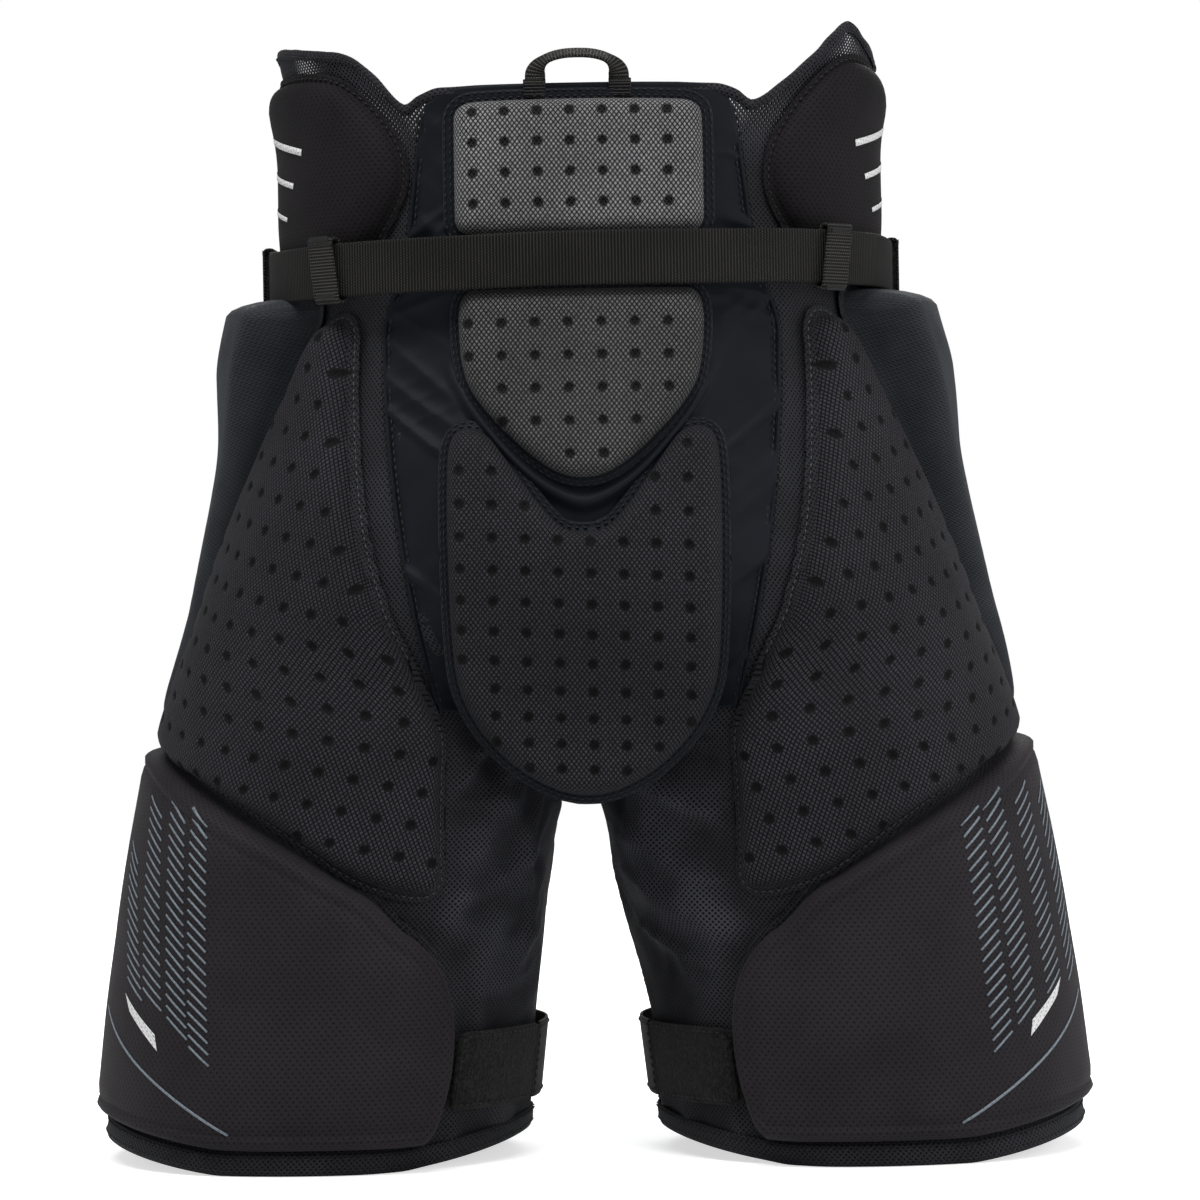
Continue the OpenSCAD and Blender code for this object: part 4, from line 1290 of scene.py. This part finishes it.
def guard_prints(side):
    tree = surface_of(f"{side}_guard_pad")
    place = wrapped(WRAP_SIDE)
    border = to_flat(guard_outline(), WRAP_SIDE, 1)
    # columns of slanting dashes: flat place at the top and bottom, width, top and bottom height
    columns = {"left": ((-86, -101, 10.5, 168, 55), (-72, -89, 12, 170, 65), (-54, -73, 14, 172, 76),
                        (-36, -58, 15, 150, 84)),
               "right": ((-93, -94, 10.5, 168, 55), (-79, -79, 12, 170, 65), (-57, -57, 14, 172, 76),
                         (-31, -34, 15, 171, 84))}[side]
    dashes = []
    for s_top, s_low, wide, z_top, z_low in columns:
        for z in np.arange(z_top - 3, z_low, -5.2):
            mid = mix(s_top, s_low, (z_top - z) / (z_top - z_low))
            up = np.clip(wide * 0.42, 0, 5.0)
            outer, inner = (mid + wide / 2, z + up), (mid - wide / 2, z - up)
            dashes.append(stroke(outer, inner, 0.95))
    line = {"left": ((-44, 178.0), (-76, 174.6)), "right": ((-44, 178.0), (-84, 173.6))}[side]
    dashes.append(stroke(*line, 1.5, 12))
    dashes.append(stroke((-26, 74), (-117, 19.5), 1.2, 24))
    dashes = [d for d in dashes if signed(np.vstack(d), border).min() > 1.2]
    decal(f"{side}_guard_dashes", tree, dashes, place, "slate_ink", side, True)
    t = np.linspace(0, 1, 14)[:, None]
    across = [(mix(np.array([-50.0, 82.0]), np.array([-56.0, 74.0]), k), mix(np.array([-76.0, 64.5]), np.array([-78.5, 57.0]), k))
              for k in np.linspace(0, 1, 5)]
    runs = [a + (b - a) * t for a, b in across]
    bar = list(zip(runs[:-1], runs[1:]))
    decal(f"{side}_guard_bar", tree, bar, place, "pale_ink", side, True)


def kidney_print(side):
    tree = surface_of(f"{side}_kidney_pad")
    place = wrapped(WRAP_SIDE)
    bars = [stroke((-8 + 9 * k, 484 - 15 * k), (-52 + 9 * k, 474 - 15 * k), 3.2 - 0.5 * k, 12) for k in range(3)]
    decal(f"{side}_kidney_bars", tree, bars, place, "pale_ink", side, False)


for side in ("left", "right"):
    guard_prints(side)
    kidney_print(side)

# ---------------------------------------------------------------- edges, seams and hems


def ring_band(name, line, profile, mat, mirror=False, closed=False, uv_top=None):
    """A tape round the left half. line is (q, z) along it; profile is (rise, o) pairs, a closed loop."""
    q, z = line[:, 0], line[:, 1]
    rows = np.stack([skin(q, z + h, o + hem_out(q)) for h, o in profile], 1)
    n, k = len(q), len(profile)
    run = np.concatenate([[0], np.cumsum(np.linalg.norm(np.diff(rows[:, 0], axis=0), axis=1))])
    uv = np.stack(np.broadcast_arrays(run[:, None], np.array([h for h, _ in profile])[None]), -1)
    faces = grid_faces(n, k, wrap=True)
    if closed:
        faces += [((n - 1) * k + j, (n - 1) * k + (j + 1) % k, (j + 1) % k, j) for j in range(k)]
    else:
        faces += [tuple(reversed(range(k))), tuple(range((n - 1) * k, n * k))]
    obj = mesh_piece(name, rows.reshape(-1, 3), faces, MAT[mat], uv=uv.reshape(-1, 2), mirror=mirror)
    return obj


def waist_binding(side):
    q = np.linspace(0, 360, 361)
    z = top_edge(q, side)
    lift = waist_wave(q, side)
    profile = [(-4.2, 0.9), (-2.0, 1.0), (0.0, 0.8), (0.5, 0.1), (0.5, -0.9), (0.0, -1.7), (-2.0, -1.9),
               (-4.2, -1.7), (-4.1, -1.3), (-0.8, -1.2), (-0.8, 0.2), (-4.1, 0.4)]
    foot = np.array([1.0, 1.0, 0, 0, 0, 0, 1.0, 1.0, 1.0, 0, 0, 1.0])
    rows = np.stack([skin(q, z + h + lift * (1 - 0.75 * k), o + 0.5 * noise(q / 7, k, 0, 63) * (q > 40))
                     for (h, o), k in zip(profile, foot)], 1)
    n, k = len(q), len(profile)
    run = np.concatenate([[0], np.cumsum(np.linalg.norm(np.diff(rows[:, 0], axis=0), axis=1))])
    uv = np.stack(np.broadcast_arrays(run[:, None], np.array([h for h, _ in profile])[None]), -1)
    faces = grid_faces(n, k, wrap=True) + [tuple(reversed(range(k))), tuple(range((n - 1) * k, n * k))]
    obj = mesh_piece(f"{side}_waist_binding", rows.reshape(-1, 3), faces, MAT["air_mesh"], uv=uv.reshape(-1, 2),
                     mirror=side == "right")
    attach(obj, "waist")
    flat = np.stack([q, z - 2.6 + 0.25 * lift], 1)
    row = stitches(f"{side}_waist_stitches", flat_line(flat), by_skin, 1.0, MAT["thread"], length=2.4, r=0.26,
                   mirror=side == "right", closed=False)
    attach(row, "waist")


SCALE_Q = 1.9    # millimetres of waist or leg for each degree of q, near enough for stitches


def flat_line(line):
    return np.stack([line[:, 0] * SCALE_Q, line[:, 1]], 1)


def by_skin(p, o):
    return skin(p[:, 0] / SCALE_Q, p[:, 1], o)


def by_hem(p, o):
    return skin(p[:, 0] / SCALE_Q, p[:, 1], o + hem_out(p[:, 0] / SCALE_Q))


def hem(side):
    q = np.linspace(0, 360, 181)[:-1]
    line = np.stack([q, hem_z(q)], 1)
    profile = [(0.0, 0.4), (0.2, 1.5), (2.5, 2.2), (6.5, 2.1), (9.5, 1.7), (9.9, 0.9), (9.5, 0.4)]
    obj = ring_band(f"{side}_hem_band", line, profile, "air_mesh", side == "right", closed=True)
    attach(obj, side + "_leg")
    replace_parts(obj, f"{side}_hem_band")
    for k, h in enumerate((2.6, 8.2)):
        row = stitches(f"{side}_hem_stitches_{k}", flat_line(np.stack([q, hem_z(q) + h], 1)), by_hem, 2.15,
                       MAT["thread"], mirror=side == "right", closed=False)
        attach(row, side + "_leg")


def back_seam_place(p, o):
    z = p[:, 1]
    q = q_at_x(-np.abs(p[:, 0]), z, 0, 180)
    return skin(q, z, o)


def middle_seams(side):
    mirror = side == "right"
    z = np.linspace(216, 488, 110)
    for k, (inset, r) in enumerate(((-1.8, 0.32), (2.6, 0.28))):
        line = np.stack([-(seam_x(z) + inset), z], 1)
        row = stitches(f"{side}_back_seam_{k}", line, back_seam_place, 1.15 if inset < 0 else 0.4, MAT["thread"],
                       length=2.6, gap=1.0, r=r, mirror=mirror, closed=False)
        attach(row, "waist")
    # a covered cord along the seam
    line = np.stack([-(seam_x(z) + 0.4), z], 1)
    mid = back_seam_place(line, 1.0)
    out = back_seam_place(line, 3.0) - mid
    out /= np.linalg.norm(out, axis=1)[:, None]
    along = np.gradient(mid, axis=0)
    along /= np.linalg.norm(along, axis=1)[:, None]
    across = np.cross(along, out)
    cord = [(0.8 * math.cos(a), 0.8 * math.sin(a)) for a in np.linspace(0, 2 * math.pi, 9)[:-1]]
    obj = sweep(f"{side}_back_piping", mid, across, cord, MAT["stretch"], mirror=mirror)
    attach(obj, "waist")


for side in ("left", "right"):
    waist_binding(side)
    hem(side)
    middle_seams(side)

# ---------------------------------------------------------------- belt and loops

BELT_END_Q = 335.0
LOOP_QS = (104, 186, 232)
BELT_W, BELT_T = 25.0, 1.6


def belt_off(q):
    return mix(14.5, 5.0, smooth((np.asarray(q, float) - 240) / 70))


def on_belt(q, o=0.0):
    return skin(q, BELT_Z, belt_off(q) + o)


def belt_path(o):
    a = np.linspace(0, BELT_END_Q, 221)
    left = on_belt(a, o)
    right = left[1:] * (-1, 1, 1)
    path = np.vstack([left[::-1], right])
    path[:, 2] += 1.6 * np.clip(path[:, 0] / 140, -1, 1) * smooth((20 - path[:, 1]) / 60)
    path[:, 2] += 0.25 * noise(np.arange(len(path)) / 21, 0, 0, 71)
    return path


def belt():
    path = belt_path(BELT_T / 2)
    up = np.tile([0.0, 0.0, 1.0], (len(path), 1))
    obj = sweep("belt_webbing_strap", path, up, band_profile(BELT_W, BELT_T - 0.2, 12, 0.10), MAT["belt_webbing"])
    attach(obj, "waist")
    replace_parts(obj, "belt_webbing")


def rounded_path(x0, x1, y0, y1, r, n=5):
    """A closed rounded rectangle, anticlockwise."""
    out = []
    for cx, cy, a0 in ((x1 - r, y1 - r, 0), (x0 + r, y1 - r, 90), (x0 + r, y0 + r, 180), (x1 - r, y0 + r, 270)):
        for a in np.linspace(a0, a0 + 90, n):
            out.append((cx + r * cosd(a), cy + r * sind(a)))
    return np.array(out)


def densify(p, step):
    out = []
    for a, b in zip(p, np.roll(p, -1, 0)):
        n = max(1, int(np.linalg.norm(b - a) / step))
        out += [mix(a, b, i / n) for i in range(n)]
    return np.array(out)


def belt_loops():
    shape = densify(rounded_path(-1.25, 3.95, -14.85, 14.85, 2.0), 1.6)
    first = None
    for side in ("left", "right"):
        for q in LOOP_QS:
            p = on_belt(q)
            ahead = on_belt(q + 1) - p
            ahead /= np.linalg.norm(ahead)
            out = np.cross(ahead, [0, 0, 1.0])
            if np.dot(out, on_belt(q, 5) - p) < 0:
                out = -out
            lean = 0.16 if q == LOOP_QS[0] else 0.0
            pts = p + shape[:, :1] * out + shape[:, 1:] * np.array([0, 0, 1.0])
            pts = pts + shape[:, 1:] * lean * ahead
            pts[:, 2] += 1.6 * np.clip((1 if side == "right" else -1) * abs(p[0]) / 140, -1, 1) * (p[1] < 0)
            across = np.tile(ahead, (len(pts), 1))
            obj = sweep(f"{side}_belt_loop_{q}", pts, across, band_profile(16.5, 1.2, 7, 0.10), MAT["webbing"],
                        closed=True, mirror=side == "right")
            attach(obj, "waist")
            if first is None:
                first = obj
            # bar tacks above and below the belt
            for k, h in enumerate((-13.4, 13.4)):
                bars = []
                for j in range(4):
                    c = p + 4.75 * out + np.array([0, 0, h + 0.62 * (j - 1.5)]) + h * lean * ahead
                    bars.append(c)
                verts, faces = [], []
                for c in bars:
                    m = len(verts)
                    for t in np.linspace(-6.2, 6.2, 25):
                        for a in range(5):
                            verts.append(c + ahead * t + 0.26 * (out * math.sin(a * 1.2566) + np.array(
                                [0, 0, 1.0]) * math.cos(a * 1.2566)) * (1 + 0.15 * math.sin(t * 6)))
                    faces += [tuple(m + i for i in f) for f in grid_faces(25, 5, wrap=True)]
                    faces += [tuple(m + i for i in reversed(range(5))), tuple(m + 120 + i for i in range(5))]
                tack = mesh_piece(f"{side}_loop_{q}_tack_{k}", verts, faces, MAT["thread"],
                                  uv=np.zeros((len(verts), 2)), mirror=side == "right")
                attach(tack, "waist")
    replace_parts(first, "belt_loops")


def belt_ends():
    low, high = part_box("belt_anchor_loop")
    low, high = np.array(low) / MM, np.array(high) / MM
    t = BELT_T / 2
    shape = densify(rounded_path(low[0] + t, high[0] - t, low[1] + t, high[1] - t, 2.4), 1.0)
    mid = (low[2] + high[2]) / 2
    pts = np.column_stack([shape, np.full(len(shape), mid)])
    up = np.tile([0.0, 0.0, 1.0], (len(pts), 1))
    obj = sweep("belt_anchor_wrap", pts, up, band_profile(BELT_W - 0.2, BELT_T - 0.2, 12, 0.08), MAT["webbing"],
                closed=True)
    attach(obj, "waist")
    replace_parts(obj, "belt_anchor_loop")
    q = np.linspace(340, 306, 40)
    tail = on_belt(q, 3.2) * (-1, 1, 1)
    up = np.tile([0.0, 0.0, 1.0], (len(tail), 1))
    end = sweep("belt_free_end", tail, up, band_profile(BELT_W - 0.2, BELT_T - 0.2, 12, 0.08), MAT["webbing"])
    bar = densify(rounded_path(13.7 - t, 17.3 + t, -3.8 - t, 3.8 + t, 2.2), 1.0)
    y = float((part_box("buckle_tongue")[0][1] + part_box("buckle_tongue")[1][1]) / 2 / MM)
    pts = np.column_stack([bar[:, 0], bar[:, 1] + y, np.full(len(bar), BELT_Z)])
    up = np.tile([0.0, 0.0, 1.0], (len(pts), 1))
    fold = sweep("belt_end_fold", pts, up, band_profile(BELT_W - 0.2, BELT_T - 0.2, 12, 0.08), MAT["webbing"],
                 closed=True)
    for o in (end, fold):
        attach(o, "tongue")
    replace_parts(fold, "belt_tail")


belt()
belt_loops()
belt_ends()

# ---------------------------------------------------------------- hanging loop


def hanging_loop():
    low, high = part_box("grab_loop")
    low, high = np.array(low) / MM, np.array(high) / MM
    y = (low[1] + high[1]) / 2
    half, wide, top, foot = high[0] - 6.4, 19.2, high[2] - 2.0, 500.4
    side_run = [(-wide, mix(foot, low[2] + 1.0, k)) for k in np.linspace(0, 1, 8)]
    rise = top - low[2] - 1.0
    arch = [(-wide * math.cos(a) ** 0.85, low[2] + 1.0 + rise * math.sin(a) ** 0.85)
            for a in np.linspace(0.03, math.pi / 2, 26)]
    arch += [(-x, z) for x, z in reversed(arch[:-1])]
    path = np.array(side_run + arch + [(-x, z) for x, z in reversed(side_run)])
    pts = np.column_stack([path[:, 0], np.full(len(path), y), path[:, 1]])
    rise = smooth((pts[:, 2] - low[2] - 1) / (top - low[2] - 3))
    pts[:, 1] -= 0.2 + 1.2 * rise
    along = np.gradient(pts, axis=0)
    along /= np.linalg.norm(along, axis=1)[:, None]
    flatways = np.cross(along, [0, 1.0, 0])
    twist = 62 * rise
    across = flatways * cosd(twist)[:, None] + np.array([0, 1.0, 0]) * sind(twist)[:, None]
    whole = sweep("hanging_loop_arch", pts, across, band_profile(9.4, 1.5, 6, 0.12), MAT["webbing"])
    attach(whole, "grab_loop")
    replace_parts(whole, "grab_loop")
    feet = []
    for k, s in enumerate((-1, 1)):
        z = np.linspace(492.6, 501.2, 14)
        p = np.column_stack([np.full(14, s * half), np.full(14, y - 0.2), z])
        a = np.tile([1.0, 0, 0], (14, 1))
        foot_piece = sweep(f"hanging_loop_foot_{k}", p, a, band_profile(10.4, 1.7, 6, 0.12), MAT["webbing"])
        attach(foot_piece, "waist")
        feet.append(foot_piece)
        for j in range(4):
            p = np.column_stack([np.linspace(s * half - 5, s * half + 5, 14), np.full(14, y - 1.15),
                                 np.full(14, 494.2 + 1.5 * j)])
            a = np.tile([0, 0, 1.0], (14, 1))
            tack = sweep(f"hanging_loop_tack_{k}_{j}", p, a, [(0.34 * math.cos(t), 0.34 * math.sin(t))
                         for t in np.linspace(0, 2 * math.pi, 7)[:-1]], MAT["thread"])
            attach(tack, "waist")
    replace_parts(feet[0], "grab_loop_ends")


hanging_loop()

# ---------------------------------------------------------------- leg straps


def strap_sheet(name, q0, q1, z0, z1, o, thick, mat, mirror, body, round_r=5.0, seed=0, wave=0.0):
    """A flat sewn strap laid round the leg, with rounded corners and slightly wavy edges."""
    wrap = Wrap(0)
    zm = (z0 + z1) / 2
    s0, s1 = float(wrap.s_of(q0, zm)), float(wrap.s_of(q1, zm))
    poly = resample(densify(rounded_path(s0, s1, z0, z1, round_r), 1.5), 1.6)
    inner = [loop_at(poly, v, 1.8) for v in (0.7, 1.6, 3.0)]
    pts = thin([(poly, 0.0)] + [(g, 0.5) for g in inner]
               + [(hexes(poly.min(0), poly.max(0), 2.6), 1.3)])
    d = signed(pts, poly)
    ok = (d > -0.3)
    ok[:len(poly)] = True
    pts, d = pts[ok], d[ok]
    border = len(poly)
    if np.sum(poly[:, 0] * np.roll(poly[:, 1], -1) - np.roll(poly[:, 0], -1) * poly[:, 1]) < 0:
        pts[:border] = pts[:border][::-1]
    faces = triangulate(pts, border, lambda m: signed(m, poly) > -0.3)
    top = o + thick - 0.5 * (1 - smooth(d / 1.4)) + wave * noise(pts[:, 0] / 9, pts[:, 1] / 9, 0, seed)
    low = np.full(len(pts), o) + np.maximum(0, top - o - thick)

    def put(p, h):
        return skin(wrap.q_of(p[:, 0], p[:, 1]), p[:, 1], h)
    n = len(pts)
    under = [tuple(i + n for i in reversed(f)) for f in faces]
    walls = [(i, i + n, (i + 1) % border + n, (i + 1) % border) for i in range(border)]
    every = [tuple(reversed(f)) for f in faces + under + walls]
    obj = mesh_piece(name, np.vstack([put(pts, top), put(pts, low)]), every, MAT[mat], uv=np.vstack([pts, pts]),
                     mirror=mirror)
    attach(obj, body)
    row = stitches(name + "_stitches", loop_at(poly, 2.2, 1.6), put, o + thick + 0.05, MAT["thread"],
                   mirror=mirror)
    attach(row, body)
    return obj


STRAP_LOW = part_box("left_strap_tab")[0][2] / MM
STRAP_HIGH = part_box("left_strap_tab")[1][2] / MM
for side in ("left", "right"):
    m = side == "right"
    leg, strap = side + "_leg", side + "_strap"
    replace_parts(strap_sheet(f"{side}_strap_root", -42, 16.2, STRAP_LOW, STRAP_HIGH, 3.6, 1.6, "webbing", m, leg,
                            3.0), f"{side}_strap_base")
    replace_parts(strap_sheet(f"{side}_loop_square", 20.5, 54.5, STRAP_LOW + 1, STRAP_HIGH - 1, 1.2, 1.1, "fuzzy", m,
                            leg, 4.0, 81, 0.15), f"{side}_loop_patch")
    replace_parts(strap_sheet(f"{side}_hook_square", 24, 51, STRAP_LOW + 2, STRAP_HIGH - 2, 2.8, 0.9, "fuzzy", m,
                            strap, 4.0, 82), f"{side}_strap_hook")
    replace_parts(strap_sheet(f"{side}_tab_square", 17.2, 53.5, STRAP_LOW, STRAP_HIGH, 4.0, 1.5, "fuzzy", m, strap,
                            5.0, 83, 0.25), f"{side}_strap_tab")

# ---------------------------------------------------------------- fly

FLY_LOW, FLY_TILT = 280.0, math.atan(14 / 150)


def on_fly(p, o):
    """Points of the fly's tilted plane: x across, height along it."""
    y = MID_Y + float(front_d(FLY_LOW)) + o * math.cos(FLY_TILT) - p[:, 1] * math.sin(FLY_TILT)
    return np.stack([p[:, 0], y + 0 * p[:, 0], FLY_LOW + o * math.sin(FLY_TILT) + p[:, 1] * math.cos(FLY_TILT)], 1)


def fly_sheet(name, x0, x1, h0, h1, o, thick, mat, body, stitch=True, r=5.0):
    poly = resample(densify(rounded_path(x0, x1, h0, h1, r), 1.5), 2.0)
    pts = thin([(poly, 0.0)] + [(loop_at(poly, v, 2.0), 0.5) for v in (0.7, 1.6, 3.0)]
               + [(hexes(poly.min(0) , poly.max(0), 3.2), 1.6)])
    d = signed(pts, poly)
    ok = d > -0.3
    ok[:len(poly)] = True
    pts, d = pts[ok], d[ok]
    b = len(poly)
    faces = triangulate(pts, b, lambda m: signed(m, poly) > -0.3)
    top = o + thick - 0.5 * (1 - smooth(d / 1.4)) + 0.12 * noise(pts[:, 0] / 12, pts[:, 1] / 15, 0, 91)
    n = len(pts)
    under = [tuple(i + n for i in reversed(f)) for f in faces]
    walls = [(i, i + n, (i + 1) % b + n, (i + 1) % b) for i in range(b)]
    every = [tuple(reversed(f)) for f in faces + under + walls]
    obj = mesh_piece(name, np.vstack([on_fly(pts, top), on_fly(pts, np.full(n, float(o)))]), every, MAT[mat],
                     uv=np.vstack([pts, pts]))
    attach(obj, body)
    if stitch:
        for k, v in enumerate((2.4, 5.4)):
            row = stitches(f"{name}_stitches_{k}", loop_at(poly, v, 1.6), on_fly, o + thick + 0.05, MAT["thread"])
            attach(row, body)
    return obj


tall = 118.0
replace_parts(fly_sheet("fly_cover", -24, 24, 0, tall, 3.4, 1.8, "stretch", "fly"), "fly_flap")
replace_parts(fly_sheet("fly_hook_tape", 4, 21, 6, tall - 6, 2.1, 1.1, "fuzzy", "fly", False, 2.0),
            "fly_hook_strip")
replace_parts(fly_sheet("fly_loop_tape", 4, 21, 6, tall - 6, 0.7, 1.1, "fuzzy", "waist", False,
                      2.0), "fly_loop_strip")

for name in ("buckle_socket", "buckle_tongue", "upper_prong", "lower_prong"):
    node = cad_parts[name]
    node.data.materials.clear()
    node.data.materials.append(MAT["plastic"])
    soften = node.modifiers.new("soft_edges", "BEVEL")
    soften.width = 0.0005
    soften.segments = 2
    soften.limit_method = "ANGLE"

# ---------------------------------------------------------------- stage, light and camera

ROLL = 1.0    # degrees: the girdle lies slightly turned in the picture
camera = bpy.data.objects.new("camera", bpy.data.cameras.new("camera"))
bpy.context.scene.collection.objects.link(camera)
camera.location = (0.0064, -2.1874, 0.262)
camera.rotation_euler = (math.radians(90), math.radians(ROLL), 0)
camera.data.sensor_width = 36
camera.data.lens = 137.5
camera.data.clip_start = 0.05
camera.data.clip_end = 50
bpy.context.scene.camera = camera
bpy.context.scene.view_settings.view_transform = "Standard"

world = bpy.data.worlds.new("studio")
bpy.context.scene.world = world
world.use_nodes = True
TREE = world.node_tree
TREE.nodes.clear()
path = TREE.nodes.new("ShaderNodeLightPath")
seen, lit = TREE.nodes.new("ShaderNodeBackground"), TREE.nodes.new("ShaderNodeBackground")
seen.inputs[0].default_value = (1, 1, 1, 1)
seen.inputs[1].default_value = 1.0
lit.inputs[0].default_value = (0.96, 0.98, 1.0, 1)
lit.inputs[1].default_value = 0.26
choose = TREE.nodes.new("ShaderNodeMixShader")
TREE.links.new(path.outputs["Is Camera Ray"], choose.inputs[0])
TREE.links.new(lit.outputs[0], choose.inputs[1])
TREE.links.new(seen.outputs[0], choose.inputs[2])
world_out = TREE.nodes.new("ShaderNodeOutputWorld")
TREE.links.new(choose.outputs[0], world_out.inputs[0])


def soft_light(name, spot, size, watts, tint=(1, 1, 1)):
    data = bpy.data.lights.new(name, "AREA")
    data.shape = "RECTANGLE"
    data.size, data.size_y = size
    data.energy = watts
    data.color = tint
    lamp = bpy.data.objects.new(name, data)
    bpy.context.scene.collection.objects.link(lamp)
    lamp.location = spot
    lamp.rotation_euler = (Vector((0, 0, 0.27)) - Vector(spot)).to_track_quat("-Z", "Y").to_euler()


soft_light("overhead", (-0.35, -0.95, 2.3), (1.7, 0.9), 46)
soft_light("fill", (1.4, -2.1, 0.9), (1.6, 1.4), 17)
soft_light("side_left", (-1.9, -0.2, 0.9), (0.8, 1.5), 4.5)
soft_light("side_right", (1.9, -0.1, 0.9), (0.8, 1.5), 11)
soft_light("beyond", (0.2, 2.0, 1.7), (1.8, 1.2), 36)

ring = [(math.cos(2 * math.pi * i / 96), math.sin(2 * math.pi * i / 96)) for i in range(96)]
floor_pts = [(0, 0, 0)] + [(r * x, r * y, 0.0) for r in (600, 1500, 3000) for x, y in ring]
floor_faces = [(0, 1 + i, 1 + (i + 1) % 96) for i in range(96)]
for k in range(2):
    floor_faces += [(1 + k * 96 + i, 97 + k * 96 + i, 97 + k * 96 + (i + 1) % 96, 1 + k * 96 + (i + 1) % 96)
                    for i in range(96)]
floor = mesh_piece("floor", [(x, y, -0.2) for x, y, _ in floor_pts], floor_faces, MAT["floor"])
